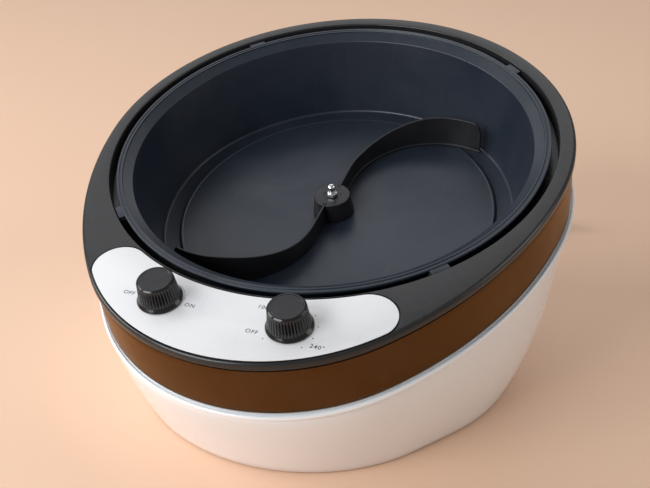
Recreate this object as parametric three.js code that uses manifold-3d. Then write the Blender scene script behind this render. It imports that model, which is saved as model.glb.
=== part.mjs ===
// Countertop coffee roaster: an open pan with a turning S-shaped blade, in a leaning egg-shaped body.
// Millimetres, +Z up, the front towards -Y. The origin is the middle of the footprint on the table.
import * as THREE from 'three';
import { mergeVertices } from 'three/addons/utils/BufferGeometryUtils.js';
import Module from 'manifold-3d';

const wasm = await Module();
wasm.setup();

// Shared clearances
const fitGap = 0.3;
const runGap = 0.6;
const bothGaps = fitGap + fitGap;
const overrun = 6;
const longOverrun = 14;
const weldTolerance = 1e-4;

// Steps of round faces
const latheSteps = 28;
const openingSteps = 56;
const outlineHalfSteps = 26;
const discSteps = 40;
const wedgeSteps = 24;
const screwSteps = 12;
const rodSteps = 20;
const padSteps = 16;
const baseScrewSteps = 10;
const tipSteps = 6;

// Lean of the deck and height of the pan rim over the table
const deckLean = THREE.MathUtils.degToRad(16.44);
const panRimHeight = 171;

// Roasting pan, from its rim inwards
const panRimRadius = 150;
const panRimStepWidth = 4.4;
const panRimStepDrop = 1;
const panLipWidth = 6.6;
const panLipDrop = 5;
const panSheet = 1.8;
const panWallRun = 10.6;
const panFloorDepth = 63.6;
const panFloorRound = 4;
const panFloorRingWidth = 12;
const panDiscRise = 2;
const panDiscStepWidth = 1.4;
const panLugWidth = 13;
const panLugThickness = 1.6;
const panLugDrop = 0.5;
const lugAnglesDegrees = [47, -47, 138, -138];
const panRimStepRadius = panRimRadius - panRimStepWidth;
const panLipRadius = panRimStepRadius - panLipWidth;
const panFloorRadius = panLipRadius - panWallRun;
const panDiscRadius = panFloorRadius - panFloorRingWidth - panDiscStepWidth;

// Opening in the deck, its ledge and the posts under the pan's lugs
const openingGap = 4.8;
const openingWall = 2.6;
const ledgeDrop = 11.6;
const ledgeThickness = 2;
const ledgeBoreGap = 3.6;
const rimPostRadius = 3.4;
const rimPostInset = 3.8;
const openingRadius = panRimRadius + openingGap;
const ledgeBoreRadius = panLipRadius + ledgeBoreGap;
const rimPostReach = openingRadius - rimPostInset;

// Outline of the deck: a rear circle, a nose circle and two long flanks that touch both
const deckRearWidth = 10.4;
const deckFrontWidth = 56.9;
const deckRearShift = 0;
const deckNoseRadius = 131.7;
const deckFlankRadius = 270;
const deckRearRadius = openingRadius + deckRearWidth;
const deckTipReach = openingRadius + deckFrontWidth;

// Deck
const deckTopHeight = 0.9;
const deckEdgeHeight = 7.2;
const deckEdgeRound = 2.4;
const deckPlateThickness = 3.1;
const deckTongueDepth = 5.5;
const deckTongueWall = 2.4;

// Control panel
const panelInnerLand = 2.2;
const panelEdgeInset = 2.8;
const panelThickness = 1.2;
const panelProud = 0.3;
const panelHalfAngle = THREE.MathUtils.degToRad(28.4);
const panelEndRadius = 18;
const panelEndInset = 18;
const panelInnerRadius = openingRadius + panelInnerLand;
const panelEndReach = panelInnerRadius + panelEndInset;

// Side band
const bandHeight = 39;
const bandWall = 2.6;
const bandTaper = 0.6;
const bandLean = 1.8;
const seamGap = 0.5;

// Lower shell: bead, shoulder and foot
const shellWall = 2.6;
const beadReach = 2.8;
const beadHeight = 4.4;
const tongueHeight = 4;
const shoulderHeight = 52;
const shoulderRearInset = 8.7;
const shoulderRearShift = 7;
const shoulderNoseInset = 7.7;
const shoulderTipInset = 27.7;
const shoulderFlankRadius = 270;
const footLift = 2;
const footRearInset = 27.7;
const footRearShift = 8.6;
const footNoseInset = 21.7;
const footTipInset = 57.3;
const footFlankRadius = 252.8;
const shoulderRearRadius = deckRearRadius - shoulderRearInset;
const shoulderNoseRadius = deckNoseRadius - shoulderNoseInset;
const shoulderTipReach = deckTipReach - shoulderTipInset;
const footRearRadius = deckRearRadius - footRearInset;
const footNoseRadius = deckNoseRadius - footNoseInset;
const footTipReach = deckTipReach - footTipInset;
const footLedgeWidth = 15;
const footLedgeThickness = 2.4;

// Base plate, feet and screws
const basePlateThickness = 2;
const basePlateRecess = 1.4;
const footPadRadius = 9;
const footPadReachShare = 0.8;
const baseScrewHeadRadius = 3.4;
const baseScrewHeadTopRadius = 2.7;
const baseScrewHeadHeight = 1.5;
const baseScrewRadius = 1.7;
const baseScrewLength = 9;
const ventCount = 6;
const ventLength = 46;
const ventWidth = 4;
const ventCorner = 1.9;
const ventPitch = 11;

// Heat shield round the pan
const shieldSheet = 0.8;
const shieldGap = 5;
const shieldScrewLand = 4.5;
const shieldDepth = 82;
const shieldCornerRadius = 6;
const shieldScrewRadius = 1.3;
const shieldScrewHeadRadius = 2.8;
const shieldScrewHeadHeight = 1.4;
const shieldScrewLength = 7;
const shieldRimRadius = rimPostReach + shieldScrewLand;

// Heating element and its clips
const elementInset = 23;
const elementTubeRadius = 3.5;
const elementHalfGapAngle = THREE.MathUtils.degToRad(24);
const elementLegReach = 22;
const elementBendRadius = 9;
const elementSides = 8;
const elementSteps = 36;
const elementRadius = panDiscRadius - elementInset;
const clipWidth = 12;
const clipSheet = 1;
const clipTab = 7;
const clipAnglesDegrees = [0, 120, -120];

// Temperature sensing bulb and thermal cut-out
const bulbRadius = 2.6;
const bulbLength = 46;
const bulbReach = 52;
const cutoutRadius = 8;
const cutoutNeckRadius = 5.6;
const cutoutHeight = 7;
const cutoutReach = 60;

// Drive: bracket, gearbox, motor and shaft
const bracketSheet = 1.5;
const bracketLength = 84;
const bracketWidth = 46;
const bracketStand = 9;
const bracketTab = 12;
const gearboxLength = 62;
const gearboxWidth = 42;
const gearboxHeight = 17;
const gearboxCorner = 8;
const motorRadius = 17.5;
const motorHeight = 28;
const motorShift = 10;
const motorEdge = 1.5;
const motorBossRadius = 5.8;
const motorBossHeight = 2.9;
const bracketScrewRadius = 1.5;
const bracketScrewHeadRadius = 2.8;
const bracketScrewHeadHeight = 1.6;
const driveShaftRadius = 4;
const driveShaftTail = 6;
const sealRadius = 9;
const sealFlangeHeight = 1.6;
const sealBodyRadius = 6.2;
const bushRadius = 8;
const bushHeight = 7;
const bushFlangeWidth = 3.5;
const bushFlangeHeight = 2.3;

// Stirring blade
const hubBaseRadius = 14.4;
const hubTopRadius = 12;
const hubHeight = 14;
const hubEdgeRound = 0.8;
const hubCapThickness = 4.7;
const bladeHeight = 25;
const bladeSheet = 1.6;
const bladeStraight = 37;
const bladeOffset = 1.6;
const bladeTipGap = 7.18;
const bladeSweep = THREE.MathUtils.degToRad(108);
const bladeSteps = 18;
const bladeTipRound = 6;
const bladeRampLength = 32;
const bladeSlotDepth = 5;

// Stud and domed nut on the hub
const studRadius = 2;
const nutFlatRadius = 4.2;
const nutHeight = 3.2;
const nutTopThickness = 0.8;
const nutNeckRadius = 1.8;
const nutNeckHeight = 1.6;
const nutBallRadius = 2.5;
const nutBallRise = 2;

// Controls
const knobInset = 5.4;
const knobHalfAngle = THREE.MathUtils.degToRad(13.9);
const knobBaseRadius = 14.5;
const knobBaseHeight = 2.2;
const knobBaseEdge = 0.7;
const knobGripRadius = 13;
const knobGripTopRadius = 11.8;
const knobTopRadius = 11.1;
const knobHeight = 16;
const knobTopRound = 0.9;
const knobRibs = 32;
const knobRibDepth = 0.5;
const knobWall = 1.8;
const knobSocketRadius = 5.6;
const knobRecess = 5.4;
const knobReach = (panelInnerRadius + deckTipReach) / 2 - knobInset;
const controlShaftRadius = 3;
const controlShaftLength = 15;
const controlShaftFlat = 1.2;
const bushingRadius = 4.4;
const bushingProud = 3.2;
const panelNutFlatRadius = 6.4;
const panelNutHeight = 2;
const switchWidth = 27;
const switchHeight = 17;
const thermostatWidth = 36;
const thermostatDepth = 27;
const thermostatHeight = 21;
const bodyCorner = 3;
const terminalLength = 4.8;
const terminalThickness = 0.8;
const terminalWidth = 6.3;
const terminalPitch = 11;

// Terminal block on the base plate
const blockLength = 44;
const blockWidth = 17;
const blockHeight = 13;
const blockInset = 50.1;
const blockShift = 34;
const blockWellRadius = 2.8;
const blockWellShares = [-0.33, 0, 0.33];
const blockReach = footRearRadius + footRearShift - blockInset;

// Power cord, its strain relief, coil and plug
const cordRadius = 3.2;
const cordSides = 8;
const cordSteps = 7;
const cordExitHeight = 24;
const cordStraight = 13;
const cordBendReach = 27;
const reliefBossRadius = 9.5;
const reliefBossProud = 1.5;
const reliefFlangeRadius = 8;
const reliefFlangeThickness = 2;
const reliefNeckRadius = 5.6;
const reliefLength = 24;
const reliefTipRadius = 4.1;
const coilOuterRadius = 44;
const coilShift = 48;
const coilWholeLoops = 5;
const coilEntryAngle = THREE.MathUtils.degToRad(150);
const coilLoopPitch = 7.2;
const coilClimbLoops = 0.5;
const coilStepsPerLoop = 24;
const coilSides = 6;
const tieWidth = 9;
const tieSheet = 0.5;
const tieSlack = 1.2;
const plugLength = 31;
const plugWidth = 19;
const plugHeight = 22;
const plugTailLength = 14;
const plugTailRadius = 5.6;
const plugTailTipRadius = 4.2;
const plugCorner = 4;
const pinLength = 17.5;
const pinWidth = 6.3;
const pinThickness = 1.5;
const pinSpacing = 12.7;
const pinCorner = 0.5;
const pinRootDepth = 5;
const plugReachX = 131;
const coilStandoff = 99.84;

// Finishes
const { MeshStandardMaterial } = THREE;
const finish = (color, roughness, metalness) => new MeshStandardMaterial({ color, roughness, metalness });
const satinBlack = [0x2c2c2d, 0.42, 0.0];
const panCoat = [0x343843, 0.46, 0.25];
const blackMoulding = [0x161617, 0.4, 0.0];
const brownMetal = [0x6a3d1c, 0.34, 0.55];
const whiteGloss = [0xf0ece8, 0.22, 0.0];
const brushedSilver = [0xdadbdc, 0.36, 0.7];
const steel = [0xa9abad, 0.38, 0.9];
const chrome = [0xd6d8da, 0.12, 1.0];
const rubber = [0x1c1c1c, 0.8, 0.0];
const greyMoulding = [0x8b8d8c, 0.55, 0.0];
const cordBlack = [0x18181a, 0.6, 0.0];
const brass = [0xb99a56, 0.35, 0.9];

// Geometry to solid and back
function weld(geometry) {
  const bare = geometry.clone();
  bare.deleteAttribute('normal');
  bare.deleteAttribute('uv');
  const merged = mergeVertices(bare, weldTolerance);
  const index = merged.index.array;
  const kept = [];
  for (let i = 0; i < index.length; i += 3) {
    const [a, b, c] = [index[i], index[i + 1], index[i + 2]];
    if (a !== b && b !== c && c !== a) kept.push(a, b, c);
  }
  merged.setIndex(kept);
  return merged;
}

function solid(geometry) {
  const welded = weld(geometry);
  const mesh = new wasm.Mesh({
    numProp: 3,
    vertProperties: new Float32Array(welded.attributes.position.array),
    triVerts: new Uint32Array(welded.index.array),
  });
  const body = new wasm.Manifold(mesh);
  if (body.isEmpty() || body.volume() <= 0) throw new Error('a piece is not one closed solid');
  return body;
}

function geometryOf(body) {
  const mesh = body.getMesh();
  const geometry = new THREE.BufferGeometry();
  const stride = mesh.numProp;
  const count = mesh.vertProperties.length / stride;
  const positions = new Float32Array(count * 3);
  for (let i = 0; i < count; i += 1) {
    for (let k = 0; k < 3; k += 1) positions[3 * i + k] = mesh.vertProperties[stride * i + k];
  }
  geometry.setAttribute('position', new THREE.BufferAttribute(positions, 3));
  geometry.setIndex(Array.from(mesh.triVerts));
  geometry.computeVertexNormals();
  return geometry;
}

function cut(base, ...tools) {
  let body = solid(base);
  for (const tool of tools) body = body.subtract(solid(tool));
  return geometryOf(body);
}

function join(base, ...others) {
  let body = solid(base);
  for (const other of others) body = body.add(solid(other));
  return geometryOf(body);
}

function common(base, other) {
  return geometryOf(solid(base).intersect(solid(other)));
}

// Egg outlines: sideways x, forward reach f, both measured from the pan axis
function egg(rearRadius, rearShift, noseRadius, tipReach, flankRadius) {
  return { rearRadius, rearShift, noseRadius, tipReach, flankRadius };
}

function inset(outline, distance) {
  return {
    rearRadius: outline.rearRadius - distance,
    rearShift: outline.rearShift,
    noseRadius: outline.noseRadius - distance,
    tipReach: outline.tipReach - distance,
    flankRadius: outline.flankRadius - distance,
  };
}

function pushedBack(outline, distance) {
  return { ...outline, rearShift: outline.rearShift + distance, tipReach: outline.tipReach - distance };
}

function eggPoints(outline) {
  const rearCentre = -outline.rearShift;
  const noseCentre = outline.tipReach - outline.noseRadius;
  const centreGap = noseCentre - rearCentre;
  const toRear = outline.flankRadius - outline.rearRadius;
  const toNose = outline.flankRadius - outline.noseRadius;
  const along = (toRear ** 2 - toNose ** 2 + centreGap ** 2) / (2 * centreGap);
  const aside = Math.sqrt(Math.max(toRear ** 2 - along ** 2, 0));
  const flankCentre = new THREE.Vector2(-aside, rearCentre + along);
  const rearTurn = Math.atan2(rearCentre - flankCentre.y, aside);
  const noseTurn = Math.atan2(noseCentre - flankCentre.y, aside);
  const path = new THREE.Path();
  path.absarc(0, noseCentre, outline.noseRadius, Math.PI / 2, noseTurn, true);
  path.absarc(flankCentre.x, flankCentre.y, outline.flankRadius, noseTurn, rearTurn, true);
  path.absarc(0, rearCentre, outline.rearRadius, rearTurn, -Math.PI / 2, true);
  const right = path.getSpacedPoints(outlineHalfSteps);
  const left = right.slice(1, -1).reverse().map((p) => new THREE.Vector2(-p.x, p.y));
  right[0].x = 0;
  right[right.length - 1].x = 0;
  return [...right, ...left];
}

// A point of the leaning deck frame in the level body frame
const leanMatrix = new THREE.Matrix4().makeRotationX(deckLean).setPosition(0, 0, panRimHeight);
const level = (outline, height) => eggPoints(outline).map((p) => new THREE.Vector3(p.x, -p.y, height));
const flat = (outline, up) => eggPoints(outline).map((p) => new THREE.Vector3(p.x, -p.y, up));
const leaning = (outline, up) => flat(outline, up).map((p) => p.applyMatrix4(leanMatrix));

// Triangles that enclose a negative volume are turned round
function faceOutwards(positions, index) {
  const at = (i) => new THREE.Vector3().fromArray(positions, 3 * index[i]);
  let volume = 0;
  for (let i = 0; i < index.length; i += 3) volume += at(i).dot(at(i + 1).cross(at(i + 2)));
  if (volume >= 0) return;
  for (let i = 0; i < index.length; i += 3) [index[i], index[i + 1]] = [index[i + 1], index[i]];
}

// Skin over a stack of rings with equal point counts: capped at both ends, or closed on itself
function loft(rings, closed = false) {
  const positions = [];
  const index = [];
  const count = rings[0].length;
  for (const ring of rings) for (const p of ring) positions.push(p.x, p.y, p.z);
  const spans = closed ? rings.length : rings.length - 1;
  for (let r = 0; r < spans; r += 1) {
    const low = r * count;
    const high = ((r + 1) % rings.length) * count;
    for (let i = 0; i < count; i += 1) {
      const j = (i + 1) % count;
      index.push(low + i, low + j, high + j, low + i, high + j, high + i);
    }
  }
  if (!closed) {
    for (const [ring, flip] of [[0, true], [rings.length - 1, false]]) {
      const centre = rings[ring].reduce((sum, p) => sum.add(p), new THREE.Vector3()).divideScalar(count);
      const tip = positions.length / 3;
      positions.push(centre.x, centre.y, centre.z);
      for (let i = 0; i < count; i += 1) {
        const a = ring * count + i;
        const b = ring * count + ((i + 1) % count);
        index.push(...(flip ? [tip, b, a] : [tip, a, b]));
      }
    }
  }
  faceOutwards(positions, index);
  const geometry = new THREE.BufferGeometry();
  geometry.setAttribute('position', new THREE.Float32BufferAttribute(positions, 3));
  geometry.setIndex(index);
  return geometry;
}

// Turned pieces about the Z axis, from [radius, height] pairs
function turned(profile, steps = latheSteps) {
  const points = profile.map(([r, z]) => new THREE.Vector2(r, z));
  const geometry = new THREE.LatheGeometry(points, steps);
  geometry.rotateX(Math.PI / 2);
  const welded = weld(geometry);
  faceOutwards(welded.attributes.position.array, welded.index.array);
  return welded;
}

function post(radius, low, high, steps = 14) {
  return turned([[0, low], [radius, low], [radius, high], [0, high]], steps);
}

function box(width, depth, low, high) {
  return new THREE.BoxGeometry(width, depth, high - low).translate(0, 0, (low + high) / 2);
}

function roundedBox(width, depth, corner, low, high, cornerSteps = 3) {
  const shape = new THREE.Shape();
  const [w, d] = [width / 2, depth / 2];
  shape.moveTo(w - corner, -d);
  shape.absarc(w - corner, corner - d, corner, -Math.PI / 2, 0, false);
  shape.absarc(w - corner, d - corner, corner, 0, Math.PI / 2, false);
  shape.absarc(corner - w, d - corner, corner, Math.PI / 2, Math.PI, false);
  shape.absarc(corner - w, corner - d, corner, Math.PI, 1.5 * Math.PI, false);
  const extrusion = { depth: high - low, bevelEnabled: false, curveSegments: cornerSteps };
  return new THREE.ExtrudeGeometry(shape, extrusion).translate(0, 0, low);
}

// A wedge about the pan axis, open towards the front
function frontWedge(reach, halfAngle, low, high) {
  const shape = new THREE.Shape();
  shape.moveTo(0, 0);
  shape.lineTo(-reach * Math.sin(halfAngle), -reach * Math.cos(halfAngle));
  shape.absarc(0, 0, reach, -Math.PI / 2 - halfAngle, -Math.PI / 2 + halfAngle, false);
  shape.closePath();
  const extrusion = { depth: high - low, bevelEnabled: false, curveSegments: wedgeSteps };
  return new THREE.ExtrudeGeometry(shape, extrusion).translate(0, 0, low);
}

function hexagon(flatRadius, low, high) {
  const corner = flatRadius / Math.cos(Math.PI / 6);
  return post(corner, low, high, 6);
}

// A tube of round section along a path
function tube(path, radius, sides, steps) {
  const section = new THREE.Shape();
  for (let i = 0; i < sides; i += 1) {
    const turn = (2 * Math.PI * i) / sides;
    const [x, y] = [radius * Math.cos(turn), radius * Math.sin(turn)];
    if (i === 0) section.moveTo(x, y);
    else section.lineTo(x, y);
  }
  return new THREE.ExtrudeGeometry(section, { steps, extrudePath: path, bevelEnabled: false });
}

const polar = (reach, angle) => new THREE.Vector2(reach * Math.sin(angle), -reach * Math.cos(angle));
const moved = (geometry, x, y, z = 0) => geometry.translate(x, y, z);
const around = (geometry, reach, angle) => geometry.rotateZ(angle).translate(...polar(reach, angle), 0);

// Assembly
const roaster = new THREE.Group();
const body = new THREE.Group();
const deckFrame = new THREE.Group();
deckFrame.rotation.x = deckLean;
deckFrame.position.z = panRimHeight;
body.add(deckFrame);
roaster.add(body);

function place(group, name, geometry, look) {
  const mesh = new THREE.Mesh(weld(geometry), finish(...look));
  mesh.name = name;
  group.add(mesh);
  return mesh;
}

// Outlines that share the deck's
const deckOutline = egg(deckRearRadius, deckRearShift, deckNoseRadius, deckTipReach, deckFlankRadius);
const bandTopOutline = inset(deckOutline, deckEdgeRound / 2);
const seamOutline = pushedBack(inset(deckOutline, bandTaper), bandLean);
const shoulderOutline = egg(
  shoulderRearRadius,
  shoulderRearShift,
  shoulderNoseRadius,
  shoulderTipReach,
  shoulderFlankRadius,
);
const footOutline = egg(footRearRadius, footRearShift, footNoseRadius, footTipReach, footFlankRadius);

// Heights along the deck's normal
const deckBottom = deckTopHeight - deckEdgeHeight;
const bandTop = deckBottom - seamGap;
const bandBottom = bandTop - bandHeight;
const beadTop = bandBottom - seamGap;
const ledgeTop = -ledgeDrop;
const ledgeBottom = ledgeTop - ledgeThickness;
const plateUnderside = deckTopHeight - deckPlateThickness;
const panelTop = deckTopHeight + panelProud;
const panelBottom = panelTop - panelThickness;
const recessFloor = panelBottom - fitGap;
const lugTop = -panLugDrop;
const lugBottom = lugTop - panLugThickness;

// Top deck
const cornerTurns = [0, 0.25, 0.5].map((share) => share * Math.PI);
const edgeRings = [];
edgeRings.push(flat(inset(deckOutline, deckEdgeRound / 2), deckBottom));
edgeRings.push(flat(deckOutline, deckBottom + deckEdgeRound / 2));
for (const turn of cornerTurns) {
  const step = deckEdgeRound * (1 - Math.cos(turn));
  edgeRings.push(flat(inset(deckOutline, step), deckTopHeight - deckEdgeRound * (1 - Math.sin(turn))));
}
const leanOver = (height) => ((bandLean + bandTaper) * height) / bandHeight;
const tongueInset = deckEdgeRound / 2 + bandWall + fitGap + leanOver(deckTongueDepth);
const tongueBottom = deckBottom - deckTongueDepth;
const tongueOutline = inset(deckOutline, tongueInset);
const tongueRings = [flat(tongueOutline, tongueBottom), flat(tongueOutline, deckBottom)];
let deck = loft([...tongueRings, ...edgeRings]);

const opening = post(openingRadius, ledgeTop, deckTopHeight + overrun, openingSteps);
const ledgeBore = post(ledgeBoreRadius, tongueBottom - overrun, ledgeTop + overrun, openingSteps);
deck = cut(deck, opening, ledgeBore);

const hollowInset = tongueInset + deckTongueWall;
const hollowOutline = inset(deckOutline, hollowInset);
const hollow = loft([flat(hollowOutline, tongueBottom - overrun), flat(hollowOutline, plateUnderside)]);
const coreRadius = openingRadius + openingWall;
const openingCore = post(coreRadius, tongueBottom - longOverrun, plateUnderside + overrun, openingSteps);
deck = cut(deck, cut(hollow, openingCore));
const underLedge = post(coreRadius + fitGap, tongueBottom - overrun, ledgeBottom, latheSteps);
deck = cut(deck, underLedge);

// Recess of the control panel
function panelBody(grow, low, high) {
  const edge = inset(deckOutline, panelEdgeInset - grow);
  const outer = loft([flat(edge, low), flat(edge, high)]);
  const inner = post(panelInnerRadius - grow, low - longOverrun, high + longOverrun, openingSteps);
  const wedge = frontWedge(deckTipReach + deckRearRadius, panelHalfAngle, low - overrun, high + overrun);
  const endDisc = () => post(panelEndRadius + grow, low - overrun, high + overrun, discSteps);
  const ends = [-1, 1].map((side) => around(endDisc(), panelEndReach, side * panelHalfAngle));
  return common(cut(outer, inner), join(wedge, ...ends));
}
deck = cut(deck, panelBody(fitGap, recessFloor, deckTopHeight + overrun));

const knobPlaces = [-1, 1].map((side) => polar(knobReach, side * knobHalfAngle));
const bushingHole = bushingRadius + fitGap;
for (const at of knobPlaces) {
  deck = cut(deck, moved(post(bushingHole, plateUnderside - overrun, deckTopHeight + overrun), at.x, at.y));
}
const lugAngles = lugAnglesDegrees.map((angle) => THREE.MathUtils.degToRad(angle));
const postTop = lugBottom - fitGap;
for (const angle of lugAngles) {
  const rimPost = box(panLugWidth, 2 * rimPostRadius, ledgeTop - ledgeThickness / 2, postTop);
  deck = join(deck, around(rimPost, rimPostReach, angle));
  const boreTop = ledgeTop + shieldScrewLength - ledgeThickness;
  const screwBore = post(shieldScrewRadius + fitGap, ledgeBottom - overrun, boreTop, screwSteps);
  deck = cut(deck, around(screwBore, rimPostReach, angle));
}
place(deckFrame, 'top_deck', deck, satinBlack);

// Control panel
let panel = panelBody(0, panelBottom, panelTop);
const panelHole = () => post(bushingHole, panelBottom - overrun, panelTop + overrun);
for (const at of knobPlaces) panel = cut(panel, moved(panelHole(), at.x, at.y));
place(deckFrame, 'control_panel', panel, brushedSilver);

// Side band
const bandRings = [
  flat(bandTopOutline, bandTop),
  flat(seamOutline, bandBottom),
  flat(inset(seamOutline, bandWall), bandBottom),
  flat(inset(bandTopOutline, bandWall), bandTop),
];
place(deckFrame, 'side_band', loft(bandRings, true), brownMetal);

// Lower shell: outer skin from the foot up to the bead, then the inner skin back down
const wallTopUp = beadTop - beadHeight;
function wallRing(wall, share) {
  const foot = level(inset(footOutline, wall), footLift);
  const middle = level(inset(shoulderOutline, wall), shoulderHeight);
  const top = leaning(inset(seamOutline, wall), wallTopUp);
  return foot.map((p, i) => {
    const bulge = middle[i].clone().sub(p.clone().lerp(top[i], 0.5)).multiplyScalar(4 * share * (1 - share));
    return p.clone().lerp(top[i], share).add(bulge);
  });
}
const wallShares = [0, 0.25, 0.5, 0.75, 1];
const outerSkin = wallShares.map((share) => wallRing(0, share));
const beadTurns = [-0.25, 0.12, 0.5].map((share) => share * Math.PI);
for (const turn of beadTurns) {
  const up = beadTop - (beadHeight / 2) * (1 - Math.sin(turn));
  outerSkin.push(leaning(inset(seamOutline, -beadReach * Math.cos(turn)), up));
}
const tongueOut = bandWall + fitGap + leanOver(tongueHeight);
outerSkin.push(leaning(inset(seamOutline, tongueOut), beadTop));
outerSkin.push(leaning(inset(seamOutline, tongueOut), beadTop + tongueHeight));
const tongueIn = tongueOut + shellWall;
const innerSkin = [leaning(inset(seamOutline, tongueIn), beadTop + tongueHeight)];
for (const share of [1, 0.5]) innerSkin.push(wallRing(tongueIn, share));
const plateBottom = footLift + basePlateRecess;
const plateTop = plateBottom + basePlateThickness;
const ledgeLow = plateTop + fitGap;
const ledgeHigh = ledgeLow + footLedgeThickness;
const innerFoot = [
  level(inset(footOutline, footLedgeWidth), ledgeHigh),
  level(inset(footOutline, footLedgeWidth), ledgeLow),
  level(inset(footOutline, shellWall), ledgeLow),
  level(inset(footOutline, shellWall), footLift),
];
innerSkin.push(level(inset(footOutline, tongueIn), ledgeHigh));
let shell = loft([...outerSkin, ...innerSkin, ...innerFoot], true);

const screwInset = shellWall + (footLedgeWidth - shellWall) / 2;
const footRing = eggPoints(inset(footOutline, screwInset));
const cornerShares = [0.11, 0.39, 0.61, 0.89];
const screwPlaces = cornerShares.map((share) => footRing[Math.round(share * footRing.length)]);
const shellHole = () => post(baseScrewRadius + fitGap, ledgeLow - overrun, ledgeHigh + overrun, screwSteps);
for (const at of screwPlaces) shell = cut(shell, moved(shellHole(), at.x, -at.y));

// Hole for the strain relief through the rear wall
const reliefAxis = (geometry) => geometry.rotateX(-Math.PI / 2).translate(0, 0, cordExitHeight);
const rearWallAt = (wall, height, lowHeight) => {
  const low = level(inset(footOutline, wall), lowHeight)[outlineHalfSteps];
  const high = wallRing(wall, 0.5)[outlineHalfSteps];
  return THREE.MathUtils.mapLinear(height, low.z, high.z, low.y, high.y);
};
const rearOuter = rearWallAt(0, cordExitHeight + reliefBossRadius, footLift) + reliefBossProud;
const rearInner = rearWallAt(tongueIn, cordExitHeight - reliefBossRadius, ledgeHigh) - bothGaps;
const reliefBoss = reliefAxis(post(reliefBossRadius, rearInner, rearOuter, rodSteps));
const reliefBore = post(reliefNeckRadius + fitGap, rearInner - longOverrun, rearOuter + longOverrun);
const reliefHole = reliefAxis(reliefBore);
shell = cut(join(shell, reliefBoss), reliefHole);
place(body, 'lower_shell', shell, whiteGloss);

// Base plate with its vents, feet and screws
const plateOutline = inset(footOutline, shellWall + fitGap);
let basePlate = loft([level(plateOutline, plateBottom), level(plateOutline, plateTop)]);
for (const at of screwPlaces) {
  const hole = post(baseScrewRadius + fitGap, plateBottom - overrun, plateTop + overrun, screwSteps);
  basePlate = cut(basePlate, moved(hole, at.x, -at.y));
}
for (let i = 0; i < ventCount; i += 1) {
  const y = (i - (ventCount - 1) / 2) * ventPitch;
  const slot = roundedBox(ventLength, ventWidth, ventCorner, plateBottom - overrun, plateTop + overrun, 1);
  basePlate = cut(basePlate, moved(slot, 0, y));
}
place(body, 'base_plate', basePlate, greyMoulding);

const cornerNames = ['front_right', 'rear_right', 'rear_left', 'front_left'];
screwPlaces.forEach((at, i) => {
  const name = cornerNames[i];
  const inward = new THREE.Vector2(at.x, -at.y).multiplyScalar(footPadReachShare);
  const pad = turned([
    [0, 0],
    [footPadRadius - footLift / 2, 0],
    [footPadRadius, footLift / 2],
    [footPadRadius, plateBottom - fitGap],
    [0, plateBottom - fitGap],
  ], padSteps);
  place(body, `foot_${name}`, moved(pad, inward.x, inward.y), rubber);
  const headTop = plateBottom - fitGap;
  const headLow = headTop - baseScrewHeadHeight;
  const screw = turned([
    [0, headLow],
    [baseScrewHeadTopRadius, headLow],
    [baseScrewHeadRadius, headLow + baseScrewHeadHeight / 2],
    [baseScrewHeadRadius, headTop],
    [baseScrewRadius, headTop],
    [baseScrewRadius, headTop + baseScrewLength],
    [0, headTop + baseScrewLength],
  ], baseScrewSteps);
  place(body, `base_screw_${name}`, moved(screw, at.x, -at.y), steel);
});

// Roasting pan: one pressed sheet, rim step, sloping lip, wall, floor ring and raised disc
const sheet = panSheet;
const wallSlope = Math.atan((panLipRadius - panFloorRadius) / (panFloorDepth - panLipDrop));
const floorTurns = [0, 0.5, 1].map((share) => share * (Math.PI / 2 - wallSlope));
function floorCorner(radius, centreR, centreZ) {
  return floorTurns.map((turn) => [centreR + radius * Math.sin(turn), centreZ - radius * Math.cos(turn)]);
}
const cornerR = panFloorRadius - panFloorRound * Math.tan((Math.PI / 2 - wallSlope) / 2);
const cornerZ = -panFloorDepth + panFloorRound;
const discTop = -panFloorDepth + panDiscRise;
const panBore = sealBodyRadius + fitGap;
const rimUnder = panLipRadius + sheet / Math.cos(wallSlope);
const panProfile = [
  [panBore, discTop],
  [panDiscRadius, discTop],
  [panDiscRadius + panDiscStepWidth, -panFloorDepth],
  ...floorCorner(panFloorRound, cornerR, cornerZ),
  [panLipRadius, -panLipDrop],
  [panRimStepRadius, -panRimStepDrop],
  [panRimStepRadius, 0],
  [panRimRadius, 0],
  [panRimRadius, -sheet],
  [panRimStepRadius, -sheet - panRimStepDrop],
  [rimUnder, -panLipDrop - sheet],
  ...floorCorner(panFloorRound + sheet, cornerR, cornerZ).reverse(),
  [panDiscRadius + panDiscStepWidth, -panFloorDepth - sheet],
  [panDiscRadius, discTop - sheet],
  [panBore, discTop - sheet],
  [panBore, discTop],
];
let pan = turned(panProfile, openingSteps);
for (const angle of lugAngles) {
  const reach = openingRadius - bothGaps;
  const start = (panRimStepRadius + panRimRadius) / 2;
  const lug = box(panLugWidth - bothGaps, reach - start, lugBottom, lugTop);
  pan = join(pan, around(lug, (reach + start) / 2, angle));
}
place(deckFrame, 'roasting_pan', pan, panCoat);
const panUnder = discTop - sheet;

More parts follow.
